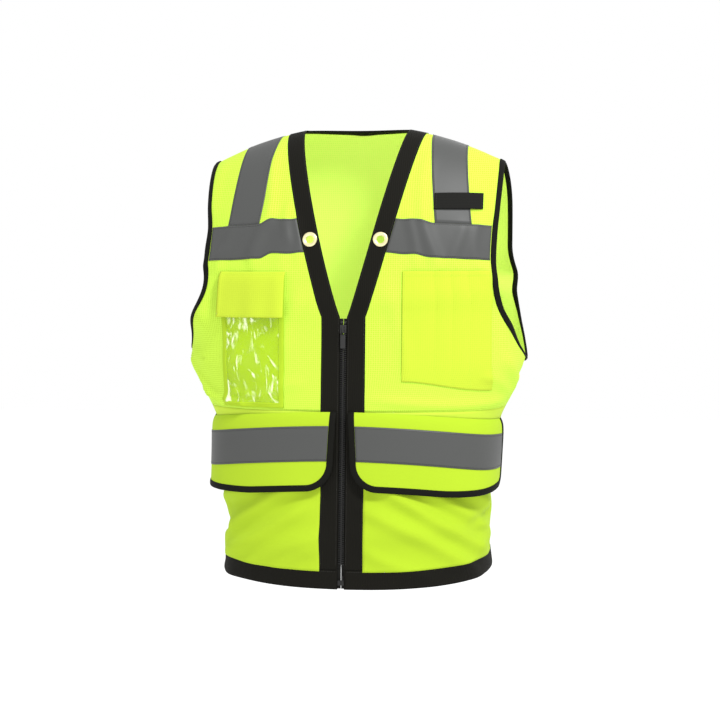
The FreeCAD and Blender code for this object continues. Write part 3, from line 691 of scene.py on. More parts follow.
# --- sewn lines -------------------------------------------------------------------------
def stitches(name, lines, material, pitch=3.2, share=0.72, radius=0.28):
    """Short thread dashes along lines of (points, normals), in one mesh."""
    points, faces = [], []
    for line, normals in lines:
        lengths = np.concatenate([[0], np.cumsum(np.linalg.norm(np.diff(line, axis=0), axis=1))])
        count = max(int(lengths[-1] / pitch), 1)
        starts = (np.arange(count) + 0.14) * lengths[-1] / count
        ends = starts + share * lengths[-1] / count
        heads, tails, tops = (np.stack([np.interp(at, lengths, source[:, k]) for k in range(3)], -1)
                              for at, source in ((starts, line), (ends, line), (starts, normals)))
        ahead = tails - heads
        beside = np.cross(ahead, tops)
        beside /= np.linalg.norm(beside, axis=1, keepdims=True)
        middle = (heads + tails) / 2
        shapes = [heads - tops * radius * 0.6, heads + beside * radius * 0.7,
                  heads - beside * radius * 0.7, middle + beside * radius + tops * radius * 0.4,
                  middle - beside * radius + tops * radius * 0.4, middle + tops * radius,
                  tails - tops * radius * 0.6, tails + beside * radius * 0.7,
                  tails - beside * radius * 0.7]
        first = len(points)
        block = np.stack(shapes, 1).reshape(-1, 3)
        points.extend(block)
        for k in range(count):
            a = first + 9 * k
            faces += [(a, a + 2, a + 1), (a + 1, a + 3, a), (a + 2, a, a + 4),
                      (a + 1, a + 5, a + 3), (a + 2, a + 4, a + 5), (a + 1, a + 2, a + 5),
                      (a + 6, a + 7, a + 8), (a + 7, a + 6, a + 3), (a + 8, a + 4, a + 6),
                      (a + 7, a + 3, a + 5), (a + 8, a + 5, a + 4), (a + 7, a + 5, a + 8),
                      (a, a + 3, a + 6), (a, a + 6, a + 4)]
    piece = new_piece(name, points, faces, material)
    outward(piece)
    return piece


def line_steps(count=160):
    return np.linspace(0.01, 0.99, count)


def line_on(place, side, out, u=None, v=None, count=160):
    """A sewn line across a sheet at one v, or down it at one u: its points and normals."""
    t = line_steps(count)
    angle, level = place(t if u is None else u + 0 * t, t if v is None else v + 0 * t)
    points = placed(side * angle, level, out)
    return points, placed(side * angle, level, out + 1.0) - points


# --- fronts -----------------------------------------------------------------------------
def pouch(low, high):
    def out(u, v):
        return low + (high - low) * np.sin(np.pi * u) ** 0.6 * np.sin(np.pi * v / 2)
    return out


PANEL_SWELL = pouch(1.2, 4.4)


def front_places(side):
    """Every sheet of a front: name -> its area on the body."""
    low_tape = at_height(lambda x: chest_tape_top(x, side) - TAPE + 1.0)
    return {
        "front_mesh": region(along(lambda z: trim_inner(z, TRIM - 5.0)), front_side(3.0),
                             constant(WAIST_Z + GAP_UP), constant(TOP)),
        "front_trim": region(along(trim_inner), along(trim_outer), hem_top, constant(TOP)),
        "pocket_lining": region(along(constant(16.3)), constant(SIDE), hem_top,
                                constant(WAIST_Z)),
        "lower_panel": region(along(constant(EDGE_HALF + TRIM - 0.5)), constant(SIDE),
                              lambda a: hem_top(a) - 3.0, lambda a: seam_z(a) - POCKET_LIP),
        "hem_band": region(along(constant(EDGE_HALF - 0.2)), constant(SIDE), hem_z, hem_top),
        "chest_tape": region(along(lambda z: trim_outer(z) + 0.2), front_side(BINDING),
                             low_tape, at_height(lambda x: chest_tape_top(x, side))),
        "shoulder_tape": region(along(lambda z: shoulder_tape_x(z, -1)),
                                along(lambda z: shoulder_tape_x(z, 1)),
                                at_height(lambda x: chest_tape_top(x, side) + 0.2), constant(TOP)),
    }


def edging(name, side, edge, inside, top, foot, material, count=120):
    """The rounded edging of an armhole, closed to a point at its foot."""
    t = np.linspace(0, 1, count)
    level = mix(foot, top, t**0.85)
    middle = (edge(level) + inside(level)) / 2
    centre = placed(side * middle, level, 0.75)
    nearby = placed(side * edge(level), level, 0.75)
    across, normal = path_frames(centre, nearby)
    wide = BINDING / 2 * (0.35 + 0.65 * smooth(t / 0.10))
    return tube(name, centre, across, normal, wide, 1.75, material, 14)


def pierce(piece, side):
    """Open a hole through the trim for the grommet, hidden by the grommet's flanges."""
    level = level_at(np.array(GROMMET_X), GROMMET_Z)
    centre = Vector(placed(side * angle_at(GROMMET_X, level), level, 1.5) * MM)
    mesh = bmesh.new()
    mesh.from_mesh(piece.data)
    mesh.faces.ensure_lookup_table()
    near = [f for f in mesh.faces
            if min((v.co - centre).length for v in f.verts) < (GROMMET_HOLE_R + 0.6) * MM]
    bmesh.ops.delete(mesh, geom=near, context="FACES_ONLY")
    loose = [e for e in mesh.edges if not e.link_faces]
    bmesh.ops.delete(mesh, geom=loose, context="EDGES")
    alone = [v for v in mesh.verts if not v.link_edges]
    bmesh.ops.delete(mesh, geom=alone, context="VERTS")
    rim = [e for e in mesh.edges if e.is_boundary]
    bmesh.ops.bridge_loops(mesh, edges=rim)
    bmesh.ops.recalc_face_normals(mesh, faces=mesh.faces)
    mesh.to_mesh(piece.data)
    mesh.free()


def make_front(side):
    name, body = side_name(side), "front_" + side_name(side)
    places = front_places(side)
    cloths = MATERIALS
    made = {}

    def sheet(part, out, thick, slot, columns, rows, rolled=0.0):
        full = part + "_" + name
        piece = cloth(full, places[part], out, thick, cloths[slot], side, columns, rows, rolled)
        made[part] = piece
        return piece, full

    for part, out, thick, slot, columns, rows in (
            ("front_mesh", 0.0, CLOTH, "mesh_cloth", 64, 110),
            ("front_trim", CLOTH + 0.1, CLOTH, "black_trim", 16, 230),
            ("chest_tape", ON_CLOTH, THIN, "reflective_tape", 44, 16),
            ("shoulder_tape", ON_CLOTH, THIN, "reflective_tape", 16, 44)):
        piece, full = sheet(part, out, thick, slot, columns, rows,
                            0.06 if part == "front_trim" else 0.0)
        if part == "front_trim":
            pierce(piece, side)
        bends(piece, side, slot, full)
    for part, out, thick, slot, columns, rows in (
            ("pocket_lining", 0.0, CLOTH, "lining_cloth", 56, 50),
            ("lower_panel", PANEL_SWELL, CLOTH, "plain_cloth", 64, 60),
            ("hem_band", -CLOTH, 2 * CLOTH + THIN, "black_trim", 64, 10)):
        piece, full = sheet(part, out, thick, slot, columns, rows)
        held(piece, body, slot, full)

    binding = edging("armhole_binding_" + name, side, front_side(0.0), front_side(BINDING),
                     TOP, ARMPIT_Z + 3.0, cloths["black_binding"])
    bends(binding, side, "black_binding", "armhole_binding_" + name)

    trim, chest, strap = places["front_trim"], places["chest_tape"], places["shoulder_tape"]
    panel = places["lower_panel"]
    grey = stitches("tape_stitches_" + name,
                    [line_on(chest, side, ON_TAPE, v=0.05), line_on(chest, side, ON_TAPE, v=0.95),
                     line_on(strap, side, ON_TAPE, u=0.05), line_on(strap, side, ON_TAPE, u=0.95)],
                    cloths["thread_black"])
    bends(grey, side, "thread_black")
    dark = stitches("trim_stitches_" + name,
                    [line_on(trim, side, ON_TRIM, u=0.08, count=400),
                     line_on(trim, side, ON_TRIM, u=0.92, count=400)], cloths["thread_black"])
    bends(dark, side, "thread_black")
    hem = stitches("hem_stitches_" + name,
                   [line_on(places["hem_band"], side, ON_HEM, v=0.9)], cloths["thread_black"])
    held(hem, body, "thread_black")
    low = stitches("pocket_stitches_" + name,
                   [line_on(panel, side, PANEL_SWELL(line_steps(), 1.0) + CLOTH, v=0.955)],
                   cloths["thread_yellow"])
    held(low, body, "thread_yellow")
    declare(made["front_mesh"], sheet_points(places["front_mesh"], side))
    for part in ("pocket_lining", "lower_panel"):
        declare(made[part], sheet_points(places[part], side))


# --- lower flaps ------------------------------------------------------------------------
def seam_z(angle):
    return WAIST_Z - FLAP_FALL * np.sin(np.radians(angle)) ** 2


def turn_over(drop):
    """How far a flap stands out so far below its seam, where it turns over."""
    return 2.2 + 5.4 * (1 - np.exp(-drop / 6.0))


FLAP_OUT_LENGTH = float(girth(np.array(FLAP_SIDE_ANGLE)))
FLAP_FOOT_RISE = 13.0                     # the foot is higher at the side than at the zip
FLAP_SWING_TOP, FLAP_SWING_FOOT = 4.0, 6.0     # the inner edge slants outwards to its foot
FLAP_CORNER_LIFT = {1: 1.0, -1: 5.0}      # the outer corner stands out more on the right
INNER_STEPS, OUTER_STEPS = 28, 30         # points down each end of a flap's outline


def flap_points(along_seam, drop, out, side):
    """Where points of the flat flap come to when it hangs, with its own soft waves."""
    along_seam, drop = np.broadcast_arrays(np.asarray(along_seam, float), drop)
    below = smooth((drop - FLAP_TAPE_DROP - TAPE) / (FLAP_DROP - FLAP_TAPE_DROP - TAPE))
    drop = drop - FLAP_FOOT_RISE * below * smooth((along_seam - 130.0) / 140.0)
    fade = 1 - smooth((along_seam - FLAP_IN_X) / 70.0)
    along_seam = (along_seam - FLAP_SWING_TOP * fade
                  + FLAP_SWING_FOOT * (drop / FLAP_DROP) * fade)
    angle = seam_angle(along_seam)
    lean = FRONT_FLARE * (1 - 1.7 * smooth((angle - 50.0) / 34.0))
    stand = turn_over(drop) + lean * drop
    low = (drop / FLAP_DROP) ** 2
    wave = low * (1.6 * np.sin(along_seam / 27.0 + side) + 1.2 * np.sin(along_seam / 61.0 - side))
    wave = wave * smooth((along_seam - FLAP_IN_X) / 60.0)
    corner = smooth((along_seam - 205.0) / 70.0) * low * FLAP_CORNER_LIFT[side]
    point = placed(side * angle, seam_z(angle), stand + wave + corner + np.asarray(out, float))
    point[..., 2] -= drop
    return point


def arc(x, y, radius, start, end, count):
    turns = np.radians(np.linspace(start, end, count + 1)[1:])
    return np.stack([x + radius * np.cos(turns), y + radius * np.sin(turns)], -1)


def straight(a, b, count):
    t = np.linspace(0, 1, count + 1)[1:, None]
    return np.asarray(a) * (1 - t) + np.asarray(b) * t


def flap_outline(inset):
    left, right = FLAP_IN_X + inset, FLAP_OUT_LENGTH - inset
    foot = FLAP_DROP - inset
    near, far = FLAP_CORNER_IN - inset, FLAP_CORNER_OUT - inset
    return np.concatenate([
        [[left, 0.0]], straight((left, 0), (left, foot - near), INNER_STEPS),
        arc(left + near, foot - near, near, 180, 90, 16),
        straight((left + near, foot), (right - far, foot), 70),
        arc(right - far, foot - far, far, 90, 0, 12),
        straight((right, foot - far), (right, 0), OUTER_STEPS)])


def make_flap(side):
    name, body = side_name(side), "lower_flap_" + side_name(side)
    foot = flap_outline(BINDING * 0.4)[INNER_STEPS:1 - OUTER_STEPS]
    t = np.linspace(0, 1, 34)[:, None] ** 1.4
    grids = [flap_points(foot[None, :, 0] + 0 * t, foot[None, :, 1] * t, out, side)
             for out in (0.0, CLOTH)]
    uv = np.stack([foot[None, :, 0] + 0 * t, foot[None, :, 1] * t], -1)
    panel = thin_solid("flap_panel_" + name, *grids, uv, MATERIALS["plain_cloth"], side > 0)
    outward(panel)
    flap_bends(panel, side, "plain_cloth", "flap_panel_" + name)

    u, v = unit_grid(70, 14)
    lengths = mix(FLAP_IN_X + BINDING, FLAP_OUT_LENGTH - BINDING, u)
    drops = mix(FLAP_TAPE_DROP, FLAP_TAPE_DROP + TAPE, v)
    grids = [flap_points(lengths, drops, out, side) for out in (ON_CLOTH, ON_CLOTH + THIN)]
    tape = thin_solid("flap_tape_" + name, *grids, np.stack([lengths, drops], -1),
                      MATERIALS["reflective_tape"], side > 0)
    outward(tape)
    flap_bends(tape, side, "reflective_tape", "flap_tape_" + name)

    line, edge = flap_outline(BINDING / 2), flap_outline(0.0)
    centre = flap_points(line[:, 0], line[:, 1], 0.5, side)
    across, normal = path_frames(centre, flap_points(edge[:, 0], edge[:, 1], 0.5, side))
    binding = tube("flap_binding_" + name, centre, across, normal, BINDING / 2, 1.7,
                   MATERIALS["black_binding"], 14)
    flap_bends(binding, side, "black_binding", "flap_binding_" + name)

    lines = []
    for drop in (FLAP_TAPE_DROP + 2.5, FLAP_TAPE_DROP + TAPE - 2.5):
        along_seam = np.linspace(FLAP_IN_X + BINDING, FLAP_OUT_LENGTH - BINDING, 160)
        points = flap_points(along_seam, drop, ON_TAPE, side)
        lines.append((points, flap_points(along_seam, drop, ON_TAPE + 1.0, side) - points))
    sewn = stitches("flap_stitches_" + name, lines, MATERIALS["thread_black"])
    flap_bends(sewn, side, "thread_black")

    u, v = unit_grid(14, 9)
    grids = [flap_points(mix(120.0, 160.0, u), mix(80.0, 100.0, v), out, side)
             for out in (-0.9, -0.05)]
    hook = thin_solid("flap_hook_" + name, *grids, np.stack([40 * u, 20 * v], -1),
                      MATERIALS["hook_and_loop"], side > 0)
    outward(hook)
    held(hook, body, "hook_and_loop", "flap_hook_" + name)
    place = region(constant(seam_angle(120.0)), constant(seam_angle(160.0)),
                   constant(WAIST_Z - 104.0), constant(WAIST_Z - 84.0))
    loop = cloth("pocket_loop_" + name, place, 5.6, 0.8, MATERIALS["hook_and_loop"], side, 14, 9)
    held(loop, "front_" + name, "hook_and_loop", "pocket_loop_" + name)
    grid = flap_points(foot[None, :, 0] + 0 * t, foot[None, :, 1] * t, 0.0, side)
    declare(panel, grid)


# --- back -------------------------------------------------------------------------------
def back_top_level(x):
    reach = 0.02 + 0.44 * np.exp(-((x / 80.0) ** 2))
    return BACK_TOP_Z * (1 - np.arccos(reach ** (BACK_CURVE / 2)) / (np.pi / 2))


def neck_place(u, v):
    turn = mix(0.01, np.pi - 0.01, u)
    x = mix(NECK_HALF, NECK_HALF + TRIM, v) * np.cos(turn)
    y = mix(NECK_BACK, NECK_BACK + 0.8 * TRIM, v) * np.sin(turn)
    depth = BACK_DEPTH * (1 - np.abs(x / half_width(0.0)) ** ROUND) ** (1 / ROUND)
    level = BACK_TOP_Z * (1 - np.arccos((y / depth) ** (BACK_CURVE / 2)) / (np.pi / 2))
    angle = angle_at(x, level, True)
    return np.where(x < 0, 360 - angle, angle), np.minimum(level, -0.05)


def make_back():
    side_edge = constant(180 - SIDE)
    tape_top = float(level_at(np.array(0.0), CHEST_TAPE_TOP, True))
    waist_top = WAIST_Z - FLAP_TAPE_DROP

    def top(angle):
        return back_top_level(body_point(angle, ARMPIT_Z)[..., 0])

    places = {
        "back_mesh": back_area(back_side(3.0), constant(WAIST_Z), top),
        "back_lower_panel": back_area(side_edge, hem_top, constant(WAIST_Z)),
        "back_hem_band": back_area(side_edge, hem_z, hem_top),
        "back_chest_tape": back_area(back_side(BINDING), constant(tape_top - TAPE),
                                     constant(tape_top)),
        "back_waist_tape": back_area(side_edge, constant(waist_top - TAPE), constant(waist_top)),
        "back_neck_band": neck_place,
        "neck_band_inside": lambda u, v: neck_place(u, 0.4 * v - 0.02),
    }
    rows = (("back_mesh", 0.0, CLOTH, "back_mesh", 120, 100),
            ("back_lower_panel", 0.0, CLOTH, "plain_cloth", 120, 50),
            ("back_hem_band", -CLOTH, 2 * CLOTH + THIN, "black_trim", 120, 9),
            ("back_chest_tape", ON_CLOTH, THIN, "reflective_tape", 100, 14),
            ("back_waist_tape", ON_CLOTH, THIN, "reflective_tape", 110, 14),
            ("back_neck_band", CLOTH + 0.1, CLOTH, "black_trim", 90, 10),
            ("neck_band_inside", -CLOTH - 0.1, CLOTH, "black_trim", 90, 8))
    made = {}
    for name, out, thick, slot, columns, count in rows:
        made[name] = cloth(name, places[name], out, thick, MATERIALS[slot], 1, columns, count)
        outward(made[name])
        nodes = () if name == "neck_band_inside" else (name,)
        held(made[name], "root", slot, *nodes)
    lines = [line_on(places[n], 1, ON_TAPE, v=v, count=300) for n in ("back_chest_tape",
             "back_waist_tape") for v in (0.05, 0.95)]

    def edge(out):
        def angle(level):
            t = np.minimum(level / tape_top, 1.0)
            x = mix(SHOULDER_TAPE_TOP_X, SHOULDER_TAPE_TOP_X - 22.0, t) + out * TAPE / 2
            return angle_at(x, level, True)
        return angle
    strap = region(edge(1), edge(-1), constant(tape_top + 0.2), constant(2 * TOP))
    for side in (1, -1):
        name = side_name(side)
        piece = cloth("back_shoulder_tape_" + name, strap, ON_CLOTH, THIN,
                      MATERIALS["reflective_tape"], side, 16, 40)
        outward(piece)
        held(piece, "root", "reflective_tape", "back_shoulder_tape_" + name)
        lines += [line_on(strap, side, ON_TAPE, u=u) for u in (0.05, 0.95)]
        binding = edging("back_armhole_binding_" + name, side, back_side(0.0),
                         back_side(BINDING), TOP, ARMPIT_Z + 3.0, MATERIALS["black_binding"])
        held(binding, "root", "black_binding", "back_armhole_binding_" + name)
        made["binding" + name], made["strap" + name] = binding, piece
    held(stitches("back_stitches", lines, MATERIALS["thread_black"]), "root", "thread_black")
    grid = sheet_points(places["back_mesh"], 1, 90, 60)
    declare(made["back_mesh"], grid)
    declare(made["back_lower_panel"], sheet_points(places["back_lower_panel"], 1, 90, 40))


# --- seams between the front and the back -----------------------------------------------
def side_bends(piece, side):
    """A piece over the side seam, between the back and the opening front. Its placement is only
    baked into its mesh; it is not made to stretch.
    """
    x = side * half_width(WAIST_Z) * MM
    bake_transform(piece)


def make_side_seam(side):
    """Cloth inside the side seam, and the armhole's edging over its foot."""
    name = side_name(side)
    front, back = constant(90.0 - SEAM_TURN), constant(90.0 + SEAM_TURN)
    for part, low, high, slot, rows in (
            ("side_seam", hem_top, constant(ARMPIT_Z - 1.0), "plain_cloth", 80),
            ("side_seam_hem", lambda a: hem_z(a) + 1.0, hem_top, "black_trim", 8)):
        place = region(front, back, low, high)
        strip = cloth(part + "_" + name, place, -2.0, CLOTH, MATERIALS[slot], side, 24, rows)
        outward(strip)
        side_bends(strip, side)
    turn = np.linspace(-1.0, 1.0, 40)
    angle, level = 90.0 + ARMPIT_TURN * turn, ARMPIT_Z - 1.0 + 6.0 * turn**2
    centre = placed(side * angle, level, 0.6)
    across, normal = path_frames(centre, placed(side * angle, level + 2.0, 0.6))
    foot = tube("armpit_edging_" + name, centre, across, normal, BINDING * 0.4, 1.7,
                MATERIALS["black_binding"], 12)
    side_bends(foot, side)


def make_shoulder_seam(side):
    """Cloth under the shoulder seam, black below the trim and yellow beyond it."""
    levels = np.array([-9.0, -5.0, -2.0, -0.6, -0.1, -0.01])
    level = np.concatenate([levels, levels[::-1]])[:, None]
    back = np.arange(level.size)[:, None] >= levels.size
    for part, start, end, slot in (
            ("shoulder_seam_trim", NECK_HALF + 1.0, NECK_HALF + TRIM, "black_trim"),
            ("shoulder_seam", NECK_HALF + TRIM, SHOULDER_HALF - 2.0, "mesh_cloth")):
        x = np.linspace(start, end, 30)[None]
        angle = np.where(back, angle_at(x, level, True), angle_at(x, level))
        grids = [placed(side * angle, level, out) for out in (-1.2, -0.3)]
        uv = np.stack(np.broadcast_arrays(x, level), -1)
        strip = thin_solid(part + "_" + side_name(side), *grids, uv, MATERIALS[slot], side < 0)
        outward(strip)
        held(strip, "root", slot)


# --- small pockets and the tab ----------------------------------------------------------
def make_pencil_pocket():
    def outer(z):
        return np.minimum(PEN_OUT_X, armhole_x(np.maximum(z, ARMPIT_Z), BINDING + 0.5))

    def foot(x):
        return PEN_BOTTOM_Z + 7.0 - 14.0 * smooth((x - PEN_IN_X) / 120.0)
    place = region(along(constant(PEN_IN_X)), along(outer), at_height(foot),
                   at_height(constant(PEN_TOP_Z)))
    edges = [(x - PEN_IN_X) / (PEN_OUT_X - PEN_IN_X) for x in PEN_DIVIDERS]
    edges = [0.0] + edges + [1.0]

    def out(u, v):
        """Each space between two dividers swells a little, most at its open top."""
        lift = np.zeros_like(u)
        for a, b in zip(edges[:-1], edges[1:]):
            inside = np.clip((u - a) / (b - a), 0, 1)
            lift = np.maximum(lift, np.sin(np.pi * inside) ** 0.7)
        return 1.2 + (0.6 + 2.0 * lift) * np.sin(np.pi * np.clip(v, 0.02, 1) / 2)
    pocket = cloth("pencil_pocket", place, out, CLOTH, MATERIALS["pocket_cloth"], 1, 90, 60)
    outward(pocket)
    held(pocket, "front_left", "pocket_cloth", "pencil_pocket")
    declare(pocket, sheet_points(place, 1))
    t, on = line_steps(), CLOTH + 0.05
    across = [line_on(place, 1, out(t, 0 * t + v) + on, v=v) for v in (0.03, 0.965)]
    dividers, ends = ([line_on(place, 1, out(0 * t + u, t) + on, u=u) for u in at]
                      for at in (edges[1:-1], (0.02, 0.98)))
    lines = dividers + across + ends
    held(stitches("pencil_stitches", lines, MATERIALS["thread_yellow"]), "front_left",
         "thread_yellow")


def make_mic_tab():
    place = block_region(MIC_IN_X, MIC_OUT_X, MIC_TOP_Z - MIC_WIDTH, MIC_TOP_Z)

    def out(u, v):
        return 1.8 + 1.4 * np.sin(np.pi * u) ** 0.6
    tab = cloth("mic_tab", place, out, 1.4, MATERIALS["webbing"], 1, 40, 14)
    outward(tab)
    bends(tab, 1, "webbing", "mic_tab")
    t = line_steps(40)
    lines = [line_on(place, 1, out(u + 0 * t, t) + 1.45, u=u, count=40) for u in (0.04, 0.96)]
    bends(stitches("mic_stitches", lines, MATERIALS["thread_black"]), 1, "thread_black")


def id_place(inset=0.0):
    half = ID_WIDTH / 2 - inset
    return block_region(ID_X - half, ID_X + half, ID_BOTTOM_Z + inset, ID_TOP_Z - 2.0 - inset)


ID_FLAP_WIDTH, ID_FLAP_LEAN = ID_WIDTH + 4.0, 0.11
ID_RIM, ID_RIM_TOP = 6.0, 20.0            # the frame's width at the sides and foot, and on top
ID_HOOK_LENGTH, ID_HOOK_WIDTH = 24.0, 12.0


def make_id_pocket():
    place = id_place()
    backing = cloth("id_backing", place, ON_CLOTH, THIN, MATERIALS["plain_cloth"], -1, 40, 60)
    outward(backing)
    half = ID_WIDTH / 2 - ID_RIM
    inner = block_region(ID_X - half, ID_X + half, ID_BOTTOM_Z + ID_RIM, ID_TOP_Z - ID_RIM_TOP)

    def out(u, v):
        swell = 2.6 * np.sin(np.pi * u) ** 0.6 * np.sin(np.pi * v / 2)
        wrinkle = (0.55 * np.sin(9 * u + 5 * v) * np.sin(4 * u - 11 * v + 1)
                   + 0.35 * np.sin(17 * u - 6 * v) * np.sin(13 * v + 7 * u))
        return 2.1 + swell + wrinkle * np.sin(np.pi * u) * np.sin(np.pi * np.minimum(v + .1, .98))
    window = cloth("id_window", inner, out, 0.35, MATERIALS["clear_window"], -1, 60, 80)
    outward(window)
    held(window, "front_right", "clear_window", "id_window")
    rim = border("id_rim", place, inner, MATERIALS["plain_cloth"])
    held(backing, "front_right", "plain_cloth", "id_backing")
    held(rim, "front_right", "plain_cloth")
    declare(backing, sheet_points(place, -1))
    lines = [line_on(inner, -1, ON_RIM, u=0.0), line_on(inner, -1, ON_RIM, u=1.0),
             line_on(inner, -1, ON_RIM, v=0.0)]
    held(stitches("id_stitches", lines, MATERIALS["thread_yellow"]), "front_right",
         "thread_yellow")

    u, v = unit_grid(36, 30)
    drops = v * ID_FLAP_DROP
    angle = angle_at(ID_X + (u - 0.5) * ID_FLAP_WIDTH, ARMPIT_Z)

    def flap_at(out, u=u, drops=drops, angle=angle):
        level = level_at(body_point(angle, ID_TOP_Z)[..., 0], ID_TOP_Z)
        low = (drops / ID_FLAP_DROP) ** 1.5
        wave = low * (1.0 * np.sin(5 * u + 0.6) + 0.8 * np.sin(15 * u + 1.0))
        stand = turn_over(drops) + ID_FLAP_LEAN * drops + wave
        points = placed(-angle, level, stand + out)
        points[..., 2] -= drops
        return points
    flap = thin_solid("id_flap", flap_at(0.0), flap_at(1.2), np.stack([100 * u, drops], -1),
                      MATERIALS["pocket_cloth"], False)
    outward(flap)
    seam = Vector(flap_at(0.0)[0, 18] * MM)
    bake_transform(flap)
    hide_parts("id_flap")
    declare(flap, flap_at(0.0))
    picked = np.linspace(0.02, 0.98, 90)
    lines = []
    for share in (0.06, 0.95):
        args = (picked, share * ID_FLAP_DROP + 0 * picked,
                angle_at(ID_X + (picked - 0.5) * ID_FLAP_WIDTH, ARMPIT_Z))
        points = flap_at(1.3, *args)
        lines.append((points, flap_at(2.3, *args) - points))
    sewn = stitches("id_flap_stitches", lines, MATERIALS["thread_yellow"])
    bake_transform(sewn)
    u, v = unit_grid(10, 8)
    drops = ID_FLAP_DROP - 18.0 + ID_HOOK_WIDTH * v
    angle = angle_at(ID_X + (u - 0.5) * ID_HOOK_LENGTH, ARMPIT_Z)
    share = 0.5 + (u - 0.5) * ID_HOOK_LENGTH / ID_FLAP_WIDTH
    hook = thin_solid("id_flap_hook", flap_at(-0.7, share, drops, angle),
                      flap_at(-0.05, share, drops, angle),
                      np.stack([ID_HOOK_LENGTH * u, ID_HOOK_WIDTH * v], -1),
                      MATERIALS["hook_and_loop"], False)
    outward(hook)
    held(hook, "id_flap", "hook_and_loop", "id_flap_hook")


def border(name, outer, inner, material, thick=1.3):
    """The cloth frame round the clear window: two sides and a foot."""
    count = 60
    t = np.linspace(0, 1, count)
    path_outer = np.concatenate([[(0.0, 1 - s) for s in t], [(s, 0.0) for s in t[1:]],
                                 [(1.0, s) for s in t[1:]]])
    edge_a = outer(path_outer[:, 0], path_outer[:, 1])
    edge_b = inner(path_outer[:, 0], path_outer[:, 1])
    share = np.linspace(-0.02, 1.25, 9)[:, None]
    angle = edge_a[0][None] * (1 - share) + edge_b[0][None] * share
    level = edge_a[1][None] * (1 - share) + edge_b[1][None] * share
    dome = 0.45 + 0.55 * np.sqrt(np.clip(1 - (2 * np.linspace(0, 1, 9) - 1) ** 4, 0, 1))[:, None]
    low = placed(-angle, level, 1.7)
    high = placed(-angle, level, 1.7 + thick * dome + 0 * angle)
    uv = np.stack([girth(angle), high[..., 2]], -1)
    piece = thin_solid(name, low, high, uv, material, False)
    outward(piece)
    return piece


# --- metal and zip ----------------------------------------------------------------------
def lathe(name, profile, centre, normal, material, turns=48):
    """A turned ring from (radius, height) corners round a closed profile."""
    normal = Vector(normal)
    turn = normal.to_track_quat("Z", "Y").to_matrix()
    count = len(profile)
    points, faces = [], []
    for k in range(turns):
        a = 2 * math.pi * k / turns
        for r, h in profile:
            points.append(Vector(centre) + turn @ Vector((r * math.cos(a), r * math.sin(a), h)))
        after = (k + 1) % turns
        for i in range(count):
            j = (i + 1) % count
            faces.append((k * count + i, after * count + i, after * count + j, k * count + j))
    piece = new_piece(name, [tuple(p) for p in points], faces, material)
    outward(piece)
    return piece


def make_grommet(side):
    name = side_name(side)
    level = level_at(np.array(GROMMET_X), GROMMET_Z)
    angle = angle_at(GROMMET_X, level)
    flat = fold_height(side * angle, np.array(GROMMET_Z))
    centre = placed(side * angle, level, -flat)
    normal = placed(side * angle, level, 1.0 - flat) - centre
    rise = float(flat)
    hole, flange = GROMMET_HOLE_R, GROMMET_FLANGE_R
    top = [(mix(flange, hole, t), 2.3 + 1.5 * math.sin(math.pi * min(t * 1.15, 1)) ** 0.7)
           for t in np.linspace(0, 1, 12)]
    profile = [(hole, -1.4), (hole + 0.5, -1.4), (hole + 0.5, 2.0), (flange, 2.0)] + top
    profile = [(r, h + rise) for r, h in profile]
    ring = lathe("grommet_" + name, profile, centre, normal, MATERIALS["brass"])
    held(ring, "front_" + name, "brass", "grommet_" + name)
    flat_ring = [(hole + 0.55, 0.1), (flange, 0.1), (flange, 0.6), (flange - 1, 0.8),
                 (hole + 0.55, 0.8)]
    washer = lathe("grommet_washer_" + name, [(r, h + rise) for r, h in flat_ring], centre,
                   normal, MATERIALS["brass"])
    held(washer, "front_" + name, "brass", "grommet_washer_" + name)


def chain_axes():
    top, foot = body_point(0.0, ZIP_TOP_Z), body_point(0.0, ZIP_LOW_Z)
    down = (foot - top) / np.linalg.norm(foot - top)
    out = np.cross(down, (1.0, 0.0, 0.0))
    return top, down, out / np.linalg.norm(out), float(np.linalg.norm(foot - top))


def blocks(name, boxes, material, bevel=0.3, segments=2):
    """Rounded blocks beside the chain in one mesh: each (x0, x1, t0, t1, out0, out1)."""
    top, down, out, _ = chain_axes()
    mesh = bmesh.new()
    for x0, x1, t0, t1, o0, o1 in boxes:
        corners = [mesh.verts.new(tuple((top + np.array((x, 0, 0)) + down * t + out * o) * MM))
                   for x in (x0, x1) for t in (t0, t1) for o in (o0, o1)]
        for a, b, c, d in ((0, 1, 3, 2), (4, 6, 7, 5), (0, 4, 5, 1), (2, 3, 7, 6),
                           (0, 2, 6, 4), (1, 5, 7, 3)):
            mesh.faces.new([corners[k] for k in (a, b, c, d)])
    bmesh.ops.recalc_face_normals(mesh, faces=mesh.faces)
    if bevel:
        bmesh.ops.bevel(mesh, geom=list(mesh.edges), offset=bevel * MM, segments=segments,
                        affect="EDGES", profile=0.5)
    data = bpy.data.meshes.new(name)
    mesh.to_mesh(data)
    mesh.free()
    data.polygons.foreach_set("use_smooth", np.ones(len(data.polygons), bool))
    data.uv_layers.new(name="cloth")
    data.materials.append(material)
    piece = bpy.data.objects.new(name, data)
    bpy.context.collection.objects.link(piece)
    return piece


TEETH_TOP, TEETH_CLEAR = 22.5, 27.0       # the first tooth below the slider; free at the foot
TEETH_ABOVE = 4                           # teeth that stand apart above the slider
ZIP_TAPE_HALF, ZIP_STRIP_HALF = 16.0, 6.5
BOX_LENGTH, PULLER_PIVOT = 7.0, 15.0


